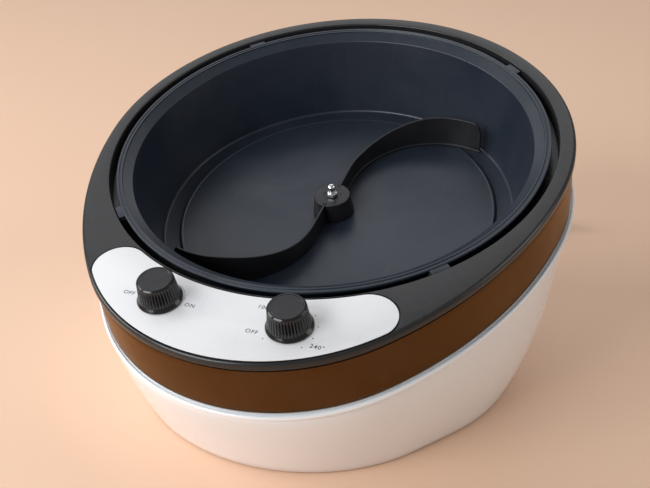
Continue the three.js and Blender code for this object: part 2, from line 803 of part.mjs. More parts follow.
// Heat shield hung from the deck's ledge
const shieldTop = ledgeBottom - fitGap;
const shieldInner = panLipRadius + shieldGap;
const shieldFloor = -shieldDepth;
const shieldCorner = (radius) => [0, 0.5, 1].map((share) => {
  const turn = share * (Math.PI / 2);
  const x = shieldInner - shieldCornerRadius + radius * Math.cos(turn);
  return [x, shieldFloor + shieldCornerRadius - radius * Math.sin(turn)];
});
const shieldBore = bushRadius + fitGap;
let shield = turned([
  [shieldInner, shieldTop],
  ...shieldCorner(shieldCornerRadius),
  [shieldBore, shieldFloor],
  [shieldBore, shieldFloor - shieldSheet],
  ...shieldCorner(shieldCornerRadius + shieldSheet).reverse(),
  [shieldInner + shieldSheet, shieldTop - shieldSheet],
  [shieldRimRadius, shieldTop - shieldSheet],
  [shieldRimRadius, shieldTop],
  [shieldInner, shieldTop],
]);
for (const angle of lugAngles) {
  const hole = post(shieldScrewRadius + fitGap, shieldTop - overrun, shieldTop + overrun, screwSteps);
  shield = cut(shield, around(hole, rimPostReach, angle));
}
const legAngles = [-1, 1].map((side) => Math.PI + side * elementHalfGapAngle);
for (const angle of legAngles) {
  const legHole = post(elementTubeRadius + fitGap, shieldFloor - overrun, shieldFloor + overrun);
  shield = cut(shield, around(legHole, elementRadius, angle));
}
const shieldUnder = shieldFloor - shieldSheet;
const bracketTabReach = bracketLength / 2 + bracketTab / 2;
const bracketScrewPlaces = [-1, 1].map((side) => side * bracketTabReach);
for (const x of bracketScrewPlaces) {
  const hole = post(bracketScrewRadius + fitGap, shieldFloor - overrun, shieldFloor + overrun, screwSteps);
  shield = cut(shield, moved(hole, x, 0));
}
place(deckFrame, 'heat_shield', shield, steel);

const shieldNames = ['front_right', 'front_left', 'rear_right', 'rear_left'];
lugAngles.forEach((angle, i) => {
  const headTop = shieldTop - shieldSheet - fitGap;
  const screw = turned([
    [0, headTop - shieldScrewHeadHeight],
    [shieldScrewHeadRadius, headTop - shieldScrewHeadHeight],
    [shieldScrewHeadRadius, headTop],
    [shieldScrewRadius, headTop],
    [shieldScrewRadius, headTop + shieldScrewLength],
    [0, headTop + shieldScrewLength],
  ], screwSteps);
  place(deckFrame, `shield_screw_${shieldNames[i]}`, around(screw, rimPostReach, angle), steel);
});

// Heating element: an open ring of tube under the pan floor with two legs turned down
const elementHeight = panUnder - fitGap - elementTubeRadius;
class ElementPath extends THREE.Curve {
  getPoint(share, target = new THREE.Vector3()) {
    const ringAngle = 2 * (Math.PI - elementHalfGapAngle);
    const bend = (Math.PI / 2) * elementBendRadius;
    const leg = elementLegReach - elementBendRadius;
    const bendTurn = elementBendRadius / elementRadius;
    const arc = (ringAngle - 2 * bendTurn) * elementRadius;
    const total = arc + 2 * bend + 2 * leg;
    let s = share * total;
    const mirrored = s > total / 2;
    if (mirrored) s = total - s;
    let angle = -Math.PI + elementHalfGapAngle;
    let z = elementHeight - elementBendRadius;
    if (s < leg) {
      z -= leg - s;
    } else if (s < leg + bend) {
      const turn = (s - leg) / elementBendRadius;
      angle += (elementBendRadius * (1 - Math.cos(turn))) / elementRadius;
      z += elementBendRadius * Math.sin(turn);
    } else {
      angle += bendTurn + (s - leg - bend) / elementRadius;
      z += elementBendRadius;
    }
    if (mirrored) angle = -angle;
    return target.set(elementRadius * Math.sin(angle), -elementRadius * Math.cos(angle), z);
  }
}
const element = tube(new ElementPath(), elementTubeRadius, elementSides, elementSteps);
place(deckFrame, 'heating_element', element, steel);

// Saddle clips that hold the element to the pan floor
const clipAngles = clipAnglesDegrees.map((angle) => THREE.MathUtils.degToRad(angle));
clipAngles.forEach((angle, i) => {
  const inner = elementTubeRadius + bothGaps;
  const outer = inner + clipSheet;
  const top = panUnder - fitGap;
  const depth = 2 * elementTubeRadius + fitGap;
  const shape = new THREE.Shape();
  const points = [
    [-outer - clipTab, 0],
    [-inner, 0],
    [-inner, -depth],
    [inner, -depth],
    [inner, 0],
    [outer + clipTab, 0],
    [outer + clipTab, -clipSheet],
    [outer, -clipSheet],
    [outer, -depth - clipSheet],
    [-outer, -depth - clipSheet],
    [-outer, -clipSheet],
    [-outer - clipTab, -clipSheet],
  ];
  points.forEach(([x, y], k) => (k === 0 ? shape.moveTo(x, y) : shape.lineTo(x, y)));
  const clip = new THREE.ExtrudeGeometry(shape, { depth: clipWidth, bevelEnabled: false });
  clip.translate(0, 0, -clipWidth / 2);
  clip.rotateX(Math.PI / 2).rotateZ(Math.PI / 2).translate(0, 0, top);
  place(deckFrame, `element_clip_${i + 1}`, around(clip, elementRadius, angle), steel);
});

// Sensing bulb under the pan and thermal cut-out under the shield
const bulb = new THREE.CapsuleGeometry(bulbRadius, bulbLength - 2 * bulbRadius, 3, 10, 1);
bulb.rotateZ(Math.PI / 2).translate(0, bulbReach, panUnder - fitGap - bulbRadius);
place(deckFrame, 'thermostat_bulb', bulb, brass);
const cutoutTop = shieldUnder - fitGap;
const cutout = turned([
  [0, cutoutTop - cutoutHeight],
  [cutoutNeckRadius, cutoutTop - cutoutHeight],
  [cutoutNeckRadius, cutoutTop - cutoutHeight / 2],
  [cutoutRadius, cutoutTop - cutoutHeight / 2],
  [cutoutRadius, cutoutTop],
  [0, cutoutTop],
], rodSteps);
place(deckFrame, 'thermal_cutout', moved(cutout, 0, cutoutReach), blackMoulding);

// Motor bracket: a plate on two folded legs with tabs screwed to the shield
const bracketTop = shieldUnder - fitGap;
const plateLow = bracketTop - bracketStand - bracketSheet;
const half = bracketLength / 2;
const bracketShape = new THREE.Shape();
const bracketProfile = [
  [-half - bracketTab, bracketTop],
  [-half, bracketTop],
  [-half, plateLow + bracketSheet],
  [half, plateLow + bracketSheet],
  [half, bracketTop],
  [half + bracketTab, bracketTop],
  [half + bracketTab, bracketTop - bracketSheet],
  [half + bracketSheet, bracketTop - bracketSheet],
  [half + bracketSheet, plateLow],
  [-half - bracketSheet, plateLow],
  [-half - bracketSheet, bracketTop - bracketSheet],
  [-half - bracketTab, bracketTop - bracketSheet],
];
bracketProfile.forEach(([x, z], k) => (k === 0 ? bracketShape.moveTo(x, z) : bracketShape.lineTo(x, z)));
let bracket = new THREE.ExtrudeGeometry(bracketShape, { depth: bracketWidth, bevelEnabled: false });
bracket.rotateX(Math.PI / 2).translate(0, bracketWidth / 2, 0);
bracket = cut(bracket, post(driveShaftRadius + runGap, plateLow - overrun, bracketTop + overrun));
for (const x of bracketScrewPlaces) {
  const hole = post(bracketScrewRadius + fitGap, bracketTop - longOverrun, bracketTop + overrun, screwSteps);
  bracket = cut(bracket, moved(hole, x, 0));
}
place(deckFrame, 'motor_bracket', bracket, steel);
bracketScrewPlaces.forEach((x, i) => {
  const headLow = shieldFloor + fitGap;
  const tail = bracketTop - bracketSheet - bothGaps - bracketScrewHeadHeight;
  const screw = turned([
    [0, tail],
    [bracketScrewRadius, tail],
    [bracketScrewRadius, headLow],
    [bracketScrewHeadRadius, headLow],
    [bracketScrewHeadRadius, headLow + bracketScrewHeadHeight],
    [0, headLow + bracketScrewHeadHeight],
  ], screwSteps);
  place(deckFrame, `bracket_screw_${i + 1}`, moved(screw, x, 0), steel);
});

// Gearbox and motor, with the output bore on the pan axis
const gearTop = plateLow - fitGap;
const gearLow = gearTop - gearboxHeight;
let gearbox = roundedBox(gearboxLength, gearboxWidth, gearboxCorner, gearLow, gearTop);
const shaftTail = gearTop - driveShaftTail;
gearbox = cut(gearbox, post(driveShaftRadius + fitGap, shaftTail - fitGap, gearTop + overrun));
place(deckFrame, 'gearbox', gearbox, greyMoulding);
const motorTop = gearLow - fitGap;
const motorLow = motorTop - motorHeight;
const motor = turned([
  [0, motorLow - motorBossHeight],
  [motorBossRadius, motorLow - motorBossHeight],
  [motorBossRadius, motorLow],
  [motorRadius - motorEdge, motorLow],
  [motorRadius, motorLow + motorEdge],
  [motorRadius, motorTop - motorEdge],
  [motorRadius - motorEdge, motorTop],
  [0, motorTop],
], rodSteps);
place(deckFrame, 'gear_motor', moved(motor, motorShift, 0), steel);

// Shaft bush in the shield and seal in the pan floor
const shaftBore = driveShaftRadius + fitGap;
const bushLow = shieldUnder - bushFlangeHeight;
const bushFlangeLow = shieldFloor + fitGap;
const bushFlangeTop = bushFlangeLow + bushFlangeHeight;
const bush = turned([
  [shaftBore, bushLow],
  [bushRadius, bushLow],
  [bushRadius, bushFlangeLow],
  [bushRadius + bushFlangeWidth, bushFlangeLow],
  [bushRadius + bushFlangeWidth, bushFlangeTop],
  [bushRadius, bushFlangeTop],
  [bushRadius, shieldFloor + bushHeight],
  [shaftBore, shieldFloor + bushHeight],
  [shaftBore, bushLow],
], rodSteps);
place(deckFrame, 'shaft_bush', bush, brass);
const sealLow = panUnder - sealFlangeHeight - bothGaps;
const seal = turned([
  [shaftBore, sealLow],
  [sealRadius, sealLow],
  [sealRadius, sealLow + sealFlangeHeight],
  [sealBodyRadius, sealLow + sealFlangeHeight],
  [sealBodyRadius, discTop],
  [shaftBore, discTop],
  [shaftBore, sealLow],
], rodSteps);
place(deckFrame, 'shaft_seal', seal, rubber);

// Drive shaft with its stud
const hubLow = discTop + runGap;
const hubTop = hubLow + hubHeight;
const shoulderTop = hubTop - hubCapThickness;
const nutLow = hubTop + fitGap;
const studTop = nutLow + nutHeight - nutTopThickness;
const shaft = turned([
  [0, shaftTail],
  [driveShaftRadius, shaftTail],
  [driveShaftRadius, shoulderTop],
  [studRadius, shoulderTop],
  [studRadius, studTop],
  [0, studTop],
], rodSteps);
place(deckFrame, 'drive_shaft', shaft, steel);

// Stirring hub: a short cone with slots for the blade arms
let hub = turned([
  [shaftBore, hubLow],
  [hubBaseRadius - hubEdgeRound / 2, hubLow],
  [hubBaseRadius, hubLow + hubEdgeRound],
  [hubTopRadius, hubTop - hubEdgeRound],
  [hubTopRadius - hubEdgeRound, hubTop],
  [studRadius + fitGap, hubTop],
  [studRadius + fitGap, shoulderTop + fitGap],
  [shaftBore, shoulderTop + fitGap],
  [shaftBore, hubLow],
]);

// Blade arms: straight from the hub, then bent on one radius, with a ramp up to the full height
const bladeTipReach = panFloorRadius - bladeTipGap;
const tipAside = 1 - Math.cos(bladeSweep);
const tipAlong = Math.sin(bladeSweep);
const tipChord = tipAside ** 2 + tipAlong ** 2;
const curveHalf = (bladeOffset * tipAside + bladeStraight * tipAlong) / tipChord;
const curveRest = (bladeTipReach ** 2 - bladeOffset ** 2 - bladeStraight ** 2) / tipChord;
const bladeCurveRadius = Math.sqrt(curveHalf ** 2 + curveRest) - curveHalf;
const bladeLow = hubLow;
const bladeTop = bladeLow + bladeHeight;
const rampLow = hubTop;
const rampSpread = bladeTipReach;
const nipSpread = bladeSheet + longOverrun;
function bladeLine(offset) {
  const points = [];
  const start = hubBaseRadius - bladeSlotDepth;
  const radius = bladeCurveRadius - offset;
  const centre = new THREE.Vector2(bladeOffset + bladeCurveRadius, bladeStraight);
  points.push(new THREE.Vector2(bladeOffset + offset, start));
  for (let i = 0; i <= bladeSteps; i += 1) {
    const turn = Math.PI - (bladeSweep * i) / bladeSteps;
    points.push(new THREE.Vector2(centre.x + radius * Math.cos(turn), centre.y + radius * Math.sin(turn)));
  }
  return points;
}
const [bladeNear, bladeFar] = [bladeLine(-bladeSheet / 2), bladeLine(bladeSheet / 2)];
const bladeOutline = new THREE.Shape([...bladeNear, ...bladeFar.reverse()]);
function bladeArm(turn) {
  const strip = new THREE.ExtrudeGeometry(bladeOutline, { depth: bladeTop - bladeLow, bevelEnabled: false });
  strip.translate(0, 0, bladeLow);
  const rampStart = hubBaseRadius - bladeSlotDepth;
  const rampShape = new THREE.Shape();
  rampShape.moveTo(rampStart - overrun, rampLow);
  rampShape.lineTo(hubBaseRadius, rampLow);
  rampShape.lineTo(hubBaseRadius + bladeRampLength, bladeTop);
  rampShape.lineTo(hubBaseRadius + bladeRampLength, bladeTop + overrun);
  rampShape.lineTo(rampStart - overrun, bladeTop + overrun);
  rampShape.closePath();
  const ramp = new THREE.ExtrudeGeometry(rampShape, { depth: rampSpread, bevelEnabled: false });
  ramp.translate(0, 0, -rampSpread / 2).rotateX(Math.PI / 2).rotateZ(Math.PI / 2);
  const end = new THREE.Vector2(bladeOffset + bladeCurveRadius, bladeStraight);
  const last = Math.PI - bladeSweep;
  const tipRound = new THREE.Shape();
  tipRound.moveTo(0, 0);
  tipRound.lineTo(-bladeTipRound, 0);
  tipRound.absarc(-bladeTipRound, -bladeTipRound, bladeTipRound, Math.PI / 2, 0, true);
  tipRound.closePath();
  const extrusion = { depth: nipSpread, bevelEnabled: false, curveSegments: tipSteps };
  const nip = new THREE.ExtrudeGeometry(tipRound, extrusion);
  nip.translate(0, 0, -nipSpread / 2).rotateX(Math.PI / 2).rotateZ(last - Math.PI / 2);
  const nipX = end.x + bladeCurveRadius * Math.cos(last);
  const nipY = end.y + bladeCurveRadius * Math.sin(last);
  nip.translate(nipX, nipY, bladeTop);
  return cut(strip, ramp, nip).rotateZ(turn);
}
const armTurns = [0, Math.PI];
for (const turn of armTurns) {
  const slot = box(bladeSheet + bothGaps, 2 * bladeSlotDepth, hubLow - overrun, hubTop + overrun);
  hub = cut(hub, slot.translate(bladeOffset, hubBaseRadius - fitGap, 0).rotateZ(turn));
}
place(deckFrame, 'stir_hub', hub, blackMoulding);
place(deckFrame, 'blade_arm_rear', bladeArm(armTurns[0]), blackMoulding);
place(deckFrame, 'blade_arm_front', bladeArm(armTurns[1]), blackMoulding);

// Domed nut on the stud
const nutTop = nutLow + nutHeight;
const neckTop = nutTop + nutNeckHeight;
const ballCentre = neckTop + nutBallRise;
const ballProfile = [-0.3, -0.15, 0, 0.17, 0.33, 0.5].map((share) => {
  const turn = share * Math.PI;
  return [share === 0.5 ? 0 : nutBallRadius * Math.cos(turn), ballCentre + nutBallRadius * Math.sin(turn)];
});
const nutNeckLow = nutTop - nutTopThickness;
const nutKnob = turned([[0, nutNeckLow], [nutNeckRadius, nutNeckLow], ...ballProfile], padSteps);
let nut = join(hexagon(nutFlatRadius, nutLow, nutTop), nutKnob);
nut = cut(nut, post(studRadius + fitGap, nutLow - overrun, studTop + fitGap, padSteps));
place(deckFrame, 'hub_nut', nut, chrome);

// Controls: body under the panel, bushing with its nut on top, shaft and knob
const knobLow = panelTop + runGap;
function knobGeometry() {
  const ribPoints = 2 * knobRibs;
  const ring = (radius, ribDepth, z) => Array.from({ length: ribPoints }, (_, i) => {
    const turn = (2 * Math.PI * i) / ribPoints;
    const r = i % 2 === 0 ? radius - ribDepth : radius;
    return new THREE.Vector3(r * Math.cos(turn), r * Math.sin(turn), z);
  });
  const gripLow = knobLow + knobBaseHeight;
  const gripHigh = knobLow + knobHeight - knobTopRound;
  const grip = loft([
    ring(knobGripRadius, 0, gripLow - knobBaseHeight / 2),
    ring(knobGripRadius, knobRibDepth, gripLow + knobRibDepth),
    ring(knobGripTopRadius, knobRibDepth, gripHigh - knobRibDepth),
    ring(knobGripTopRadius, 0, gripHigh),
    ring(knobTopRadius, 0, knobLow + knobHeight),
  ]);
  const skirt = turned([
    [0, knobLow],
    [knobBaseRadius, knobLow],
    [knobBaseRadius, knobLow + knobBaseEdge],
    [knobGripRadius - knobRibDepth, knobLow + knobBaseHeight],
    [0, knobLow + knobBaseHeight],
  ], wedgeSteps);
  const recess = post(knobGripRadius - knobWall, knobLow - overrun, knobLow + knobRecess, rodSteps);
  const socketLow = knobLow + panelNutHeight + bushingProud;
  const socket = post(knobSocketRadius, socketLow, knobLow + knobRecess + overrun, screwSteps);
  const boreTop = knobLow + knobHeight - knobWall;
  const bore = post(controlShaftRadius + fitGap, knobLow - overrun, boreTop, screwSteps);
  return cut(join(grip, skirt), cut(recess, socket), bore);
}
const stirControl = { name: 'stir', bodyName: 'stir_switch', at: knobPlaces[0] };
Object.assign(stirControl, { width: switchWidth, depth: switchWidth, height: switchHeight });
const heatControl = { name: 'temperature', bodyName: 'thermostat', at: knobPlaces[1] };
Object.assign(heatControl, { width: thermostatWidth, depth: thermostatDepth, height: thermostatHeight });
const controls = [stirControl, heatControl];
for (const control of controls) {
  const { at } = control;
  const top = plateUnderside - fitGap;
  const low = top - control.height;
  const casing = roundedBox(control.width, control.depth, bodyCorner, low, top);
  const bushing = post(bushingRadius, top - fitGap, panelTop + bushingProud);
  let housing = join(casing, bushing);
  for (const side of [-0.5, 0.5]) {
    const blade = box(terminalWidth, terminalThickness, low - terminalLength, low + terminalThickness);
    housing = join(housing, moved(blade, 0, side * terminalPitch));
  }
  const shaftLow = top - control.height / 2;
  const shaftBoreTop = panelTop + bushingProud + overrun;
  housing = cut(housing, post(controlShaftRadius + fitGap, shaftLow - fitGap, shaftBoreTop));
  place(deckFrame, control.bodyName, moved(housing, at.x, at.y), greyMoulding);
  const shaftTop = knobLow + controlShaftLength - knobWall;
  const flatLow = panelTop + bushingProud + fitGap;
  const flatCut = box(2 * controlShaftRadius, 2 * controlShaftRadius, flatLow, shaftTop + overrun);
  const flatReach = 2 * controlShaftRadius - controlShaftFlat;
  const spindle = cut(post(controlShaftRadius, shaftLow, shaftTop), moved(flatCut, 0, flatReach));
  place(deckFrame, `${control.name}_shaft`, moved(spindle, at.x, at.y), steel);
  let panelNut = hexagon(panelNutFlatRadius, panelTop + fitGap, panelTop + fitGap + panelNutHeight);
  const nutBoreTop = panelTop + panelNutHeight + overrun;
  panelNut = cut(panelNut, post(bushingRadius + fitGap, panelTop - overrun, nutBoreTop));
  place(deckFrame, `${control.name}_panel_nut`, moved(panelNut, at.x, at.y), steel);
  place(deckFrame, `${control.name}_knob`, moved(knobGeometry(), at.x, at.y), blackMoulding);
}

// Terminal block on the base plate
const blockLow = plateTop + fitGap;
let block = roundedBox(blockLength, blockWidth, bodyCorner, blockLow, blockLow + blockHeight);
for (const share of blockWellShares) {
  const well = post(blockWellRadius, blockLow + blockHeight / 2, blockLow + blockHeight + overrun, padSteps);
  block = cut(block, moved(well, share * blockLength, 0));
}
place(body, 'terminal_block', moved(block, blockShift, blockReach), whiteGloss);

// Strain relief in the rear wall: inner flange, neck and tapered boot
const reliefStart = rearInner - reliefFlangeThickness - fitGap;
const bootStart = rearOuter + fitGap;
const reliefEnd = bootStart + reliefFlangeThickness + reliefLength;
const reliefProfile = [
  [0, reliefStart],
  [reliefFlangeRadius, reliefStart],
  [reliefFlangeRadius, reliefStart + reliefFlangeThickness],
  [reliefNeckRadius, reliefStart + reliefFlangeThickness],
  [reliefNeckRadius, bootStart],
  [reliefFlangeRadius, bootStart],
  [reliefFlangeRadius, bootStart + reliefFlangeThickness],
  [reliefNeckRadius, bootStart + reliefFlangeThickness],
  [reliefTipRadius, reliefEnd],
  [0, reliefEnd],
];
place(body, 'strain_relief', reliefAxis(turned(reliefProfile, padSteps)), blackMoulding);
const cordStart = new THREE.Vector3(0, reliefEnd + fitGap, cordExitHeight);
const plugReachY = cordStart.y + coilStandoff;

// Coil of the put-away cord: two layers, spiralling in below and out again above
const coilStraight = 2 * cordRadius;
const coilLowHeight = cordRadius + tieSheet + fitGap;
const coilHighHeight = plugHeight / 2;
const coilCentre = new THREE.Vector2(coilShift, plugReachY - coilOuterRadius);
const coilLoops = coilWholeLoops + (coilEntryAngle - Math.PI / 2) / (2 * Math.PI);
const coilEntryHeading = new THREE.Vector3(Math.sin(coilEntryAngle), -Math.cos(coilEntryAngle), 0);
const coilRadiusAt = (turns) => coilOuterRadius - coilLoopPitch * Math.min(turns, coilLoops - turns);
function coilHeightAt(turns) {
  const share = THREE.MathUtils.clamp((turns - coilLoops / 2) / coilClimbLoops + 0.5, 0, 1);
  return THREE.MathUtils.lerp(coilLowHeight, coilHighHeight, THREE.MathUtils.smoothstep(share, 0, 1));
}
function coilPoint(turns) {
  const inTurns = THREE.MathUtils.clamp(turns, 0, coilLoops);
  const angle = coilEntryAngle - 2 * Math.PI * inTurns;
  const radius = coilRadiusAt(inTurns);
  const [x, y] = [radius * Math.cos(angle), radius * Math.sin(angle)];
  return new THREE.Vector3(coilCentre.x + x, coilCentre.y + y, coilHeightAt(inTurns));
}
const coilSteps = Math.round(coilLoops * coilStepsPerLoop);
const coilPath = Array.from({ length: coilSteps + 1 }, (_, i) => coilPoint(i / coilStepsPerLoop));
coilPath.unshift(coilPath[0].clone().addScaledVector(coilEntryHeading, -coilStraight));
coilPath.push(coilPath[coilPath.length - 1].clone().add(new THREE.Vector3(coilStraight, 0, 0)));
const upright = new THREE.Vector3(0, 0, 1);
const coilRings = coilPath.map((p, i) => {
  const before = coilPath[Math.max(i - 1, 0)];
  const after = coilPath[Math.min(i + 1, coilPath.length - 1)];
  const heading = after.clone().sub(before).normalize();
  if (i <= 1) heading.copy(coilEntryHeading);
  if (i >= coilPath.length - 2) heading.set(1, 0, 0);
  const side = heading.clone().cross(upright).normalize();
  const rise = side.clone().cross(heading).normalize();
  return Array.from({ length: coilSides }, (_, k) => {
    const turn = (2 * Math.PI * k) / coilSides;
    const [across, upwards] = [cordRadius * Math.cos(turn), cordRadius * Math.sin(turn)];
    return p.clone().addScaledVector(side, across).addScaledVector(rise, upwards);
  });
});
place(body, 'cord_coil', loft(coilRings), cordBlack);
let leastGap = Infinity;
for (let i = 0; i < coilPath.length; i += 1) {
  for (let j = i + coilStepsPerLoop / 3; j < coilPath.length; j += 1) {
    const pairs = coilRings[i].flatMap((p) => coilRings[j].map((q) => p.distanceTo(q)));
    leastGap = Math.min(leastGap, coilPath[i].distanceTo(coilPath[j]) - 2 * cordRadius, ...pairs);
  }
}
console.log(`cord_coil: least gap to itself ${leastGap.toFixed(2)} mm`);

// Tie round the coil
const tieTurns = coilEntryAngle / (2 * Math.PI);
const tieInner = coilRadiusAt(Math.floor(coilLoops / 2) + tieTurns) - cordRadius - tieSlack;
const tieOuter = coilRadiusAt(tieTurns) + cordRadius + bothGaps;
const tieTop = coilHighHeight + cordRadius + fitGap;
const tieSection = (grow) => {
  const shape = new THREE.Shape();
  shape.moveTo(tieInner - grow, tieSheet - grow);
  shape.lineTo(tieOuter + grow, tieSheet - grow);
  shape.lineTo(tieOuter + grow, tieTop + grow);
  shape.lineTo(tieInner - grow, tieTop + grow);
  shape.closePath();
  return shape;
};
const tieShape = tieSection(tieSheet);
tieShape.holes.push(tieSection(0));
const tie = new THREE.ExtrudeGeometry(tieShape, { depth: tieWidth, bevelEnabled: false });
tie.rotateX(Math.PI / 2).translate(coilCentre.x, coilCentre.y + tieWidth / 2, 0);
place(body, 'cord_tie', tie, cordBlack);

// Free stretch from the strain relief down to the table and into the coil
const bendStart = cordStart.clone().add(new THREE.Vector3(0, cordStraight, 0));
const bendFinish = coilPath[0].clone().addScaledVector(coilEntryHeading, -fitGap);
const cordRoute = new THREE.CurvePath();
cordRoute.add(new THREE.LineCurve3(cordStart, bendStart));
cordRoute.add(new THREE.CubicBezierCurve3(
  bendStart,
  bendStart.clone().add(new THREE.Vector3(0, cordBendReach, 0)),
  bendFinish.clone().addScaledVector(coilEntryHeading, -cordBendReach),
  bendFinish,
));
place(body, 'power_cord', tube(cordRoute, cordRadius, cordSides, cordSteps), cordBlack);

// Plug on its side behind the roaster, pins pointing to the right
const plugFace = plugReachX - pinLength;
const plugBack = plugFace - plugLength;
const plugAxisHeight = plugHeight / 2;
const towardsRight = (geometry) => geometry.rotateY(Math.PI / 2).translate(0, plugReachY, plugAxisHeight);
const plugGrip = roundedBox(plugHeight, plugWidth, plugCorner, plugBack, plugFace);
const plugTail = turned([
  [0, plugBack - plugTailLength], [plugTailTipRadius, plugBack - plugTailLength], [plugTailRadius, plugBack],
  [plugTailRadius, plugBack + plugCorner], [0, plugBack + plugCorner],
], rodSteps);
let plug = join(plugGrip, plugTail);
for (const side of [-1, 1]) {
  const rootLow = plugFace - pinRootDepth;
  const root = box(pinThickness + bothGaps, pinWidth + bothGaps, rootLow, plugFace + overrun);
  plug = cut(plug, moved(root, (side * pinSpacing) / 2, 0));
}
place(body, 'plug_body', towardsRight(plug), blackMoulding);
for (const [side, name] of [[-1, 'plug_pin_a'], [1, 'plug_pin_b']]) {
  const pin = roundedBox(pinThickness, pinWidth, pinCorner, plugFace - pinRootDepth + fitGap, plugReachX, 1);
  place(body, name, towardsRight(moved(pin, (side * pinSpacing) / 2, 0)), steel);
}

// Free stretch from the coil to the plug
const tailPath = new THREE.LineCurve3(
  new THREE.Vector3(coilCentre.x + coilStraight + fitGap, plugReachY, plugAxisHeight),
  new THREE.Vector3(plugBack - plugTailLength - fitGap, plugReachY, plugAxisHeight),
);
place(body, 'cord_tail', tube(tailPath, cordRadius, cordSides, 2), cordBlack);

// Set the origin under the middle of the roaster without its cord
const cordPieces = ['strain_relief', 'power_cord', 'cord_coil', 'cord_tie', 'cord_tail'];
cordPieces.push('plug_body', 'plug_pin_a', 'plug_pin_b');
const bounds = new THREE.Box3();
roaster.updateMatrixWorld(true);
body.traverse((piece) => {
  if (piece.isMesh && !cordPieces.includes(piece.name)) bounds.expandByObject(piece, true);
});
body.position.y = -(bounds.min.y + bounds.max.y) / 2;

export default roaster;
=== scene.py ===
"""Countertop coffee roaster: an add-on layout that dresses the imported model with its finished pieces."""

import math

import bmesh
import bpy
from bpy.props import FloatProperty, FloatVectorProperty, IntProperty, PointerProperty
from mathutils import Matrix, Vector


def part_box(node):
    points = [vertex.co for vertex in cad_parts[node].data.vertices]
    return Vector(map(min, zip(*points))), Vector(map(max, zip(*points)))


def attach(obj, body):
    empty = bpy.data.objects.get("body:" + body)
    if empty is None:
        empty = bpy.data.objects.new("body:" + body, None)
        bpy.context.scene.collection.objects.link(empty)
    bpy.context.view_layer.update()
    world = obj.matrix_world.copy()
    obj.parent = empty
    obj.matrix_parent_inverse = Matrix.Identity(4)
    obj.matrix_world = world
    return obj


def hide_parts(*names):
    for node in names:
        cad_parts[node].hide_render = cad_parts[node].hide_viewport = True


bl_info = {
    "name": "Countertop Coffee Roaster",
    "version": (1, 0, 0),
    "blender": (4, 5, 0),
    "location": "3D View > Sidebar > Roaster",
    "description": "Builds an open coffee roaster with its stirring blade, controls and cord",
    "category": "Add Mesh",
}

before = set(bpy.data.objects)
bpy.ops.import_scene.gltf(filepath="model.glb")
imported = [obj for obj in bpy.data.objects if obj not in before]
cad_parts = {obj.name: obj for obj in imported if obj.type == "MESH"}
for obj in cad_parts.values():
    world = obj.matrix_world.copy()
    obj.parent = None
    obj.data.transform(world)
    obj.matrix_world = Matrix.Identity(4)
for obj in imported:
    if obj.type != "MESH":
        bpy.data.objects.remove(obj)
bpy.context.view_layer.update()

# Where the deck leans and where the pan axis stands
DECK_LEAN = math.radians(16.44)
PAN_AXIS_Y = 0.013479
PAN_RIM_HEIGHT = 0.171
LEVEL = Matrix.Translation((0, PAN_AXIS_Y, 0))
DECK = Matrix.Translation((0, PAN_AXIS_Y, PAN_RIM_HEIGHT)) @ Matrix.Rotation(DECK_LEAN, 4, "X")

# Clearances that the pieces keep
FIT_GAP = 0.0003
PANEL_GAP = 0.0011
SHADOW_GAP = 0.0014
SHADOW_DEPTH = 0.0018
BAND_GAP = 0.0008
RUN_GAP = 0.0006

FULL_TURN = 2 * math.pi
RIB_SHARPNESS = 1.6

# Outline of the deck and of the lower shell's shoulder and foot
FLANK_RADIUS = 0.270
SHOULDER = (0.1565, 0.007, 0.124, 0.184, 0.270)
FOOT = (0.1375, 0.0086, 0.110, 0.1544, 0.2528)
FOOT_EDGE = (0.1408, 0.0053, 0.120, 0.1552, 0.7497)
SHOULDER_HEIGHT = 0.052
FOOT_LIFT = 0.002
RIM_LIFT = 0.0009

# Heights of the deck's own parts along its normal
DECK_TOP = 0.0009
DECK_EDGE = 0.0072
DECK_PLATE = 0.0031
LEDGE_TOP = -0.0116
LEDGE_THICKNESS = 0.002
LEDGE_BORE = 0.1426
OPENING_RADIUS = 0.1548
OPENING_WALL = 0.0026
DECK_STEPS = 220
TONGUE_DEPTH = 0.0055
TONGUE_WALL = 0.0024
BAND_WALL = 0.0026
BAND_TAPER = 0.0006
BAND_LEAN = 0.0018
BAND_EDGE = 0.0005
BAND_FOOT_INSET = 0.0016
SEAM_GAP = 0.0005
BEAD_REACH = 0.0028
BEAD_HEIGHT = 0.0044
SHELL_WALL = 0.0026
SHELL_TONGUE = 0.004
SHELL_LEDGE = 0.0024
LEDGE_REACH = 0.015
BASE_LIFT = 0.0014
BASE_SHEET = 0.002
LUG_THICKNESS = 0.0016
LUG_DROP = 0.0005
PAN_DISC_RISE = 0.002
BUSHING_RADIUS = 0.0047
BUSHING_REACH = 0.01
POST_REACH = 0.151
POST_SIZE = (0.013, 0.0068)
LUG_WIDTH = 0.0124
LUG_ANGLES = [math.radians(angle) for angle in (47, -47, 138, -138)]


# Sizes and colours that a user changes
SIZE = {"unit": "LENGTH", "precision": 4}
COLOUR = {"size": 4, "min": 0, "max": 1, "subtype": "COLOR"}


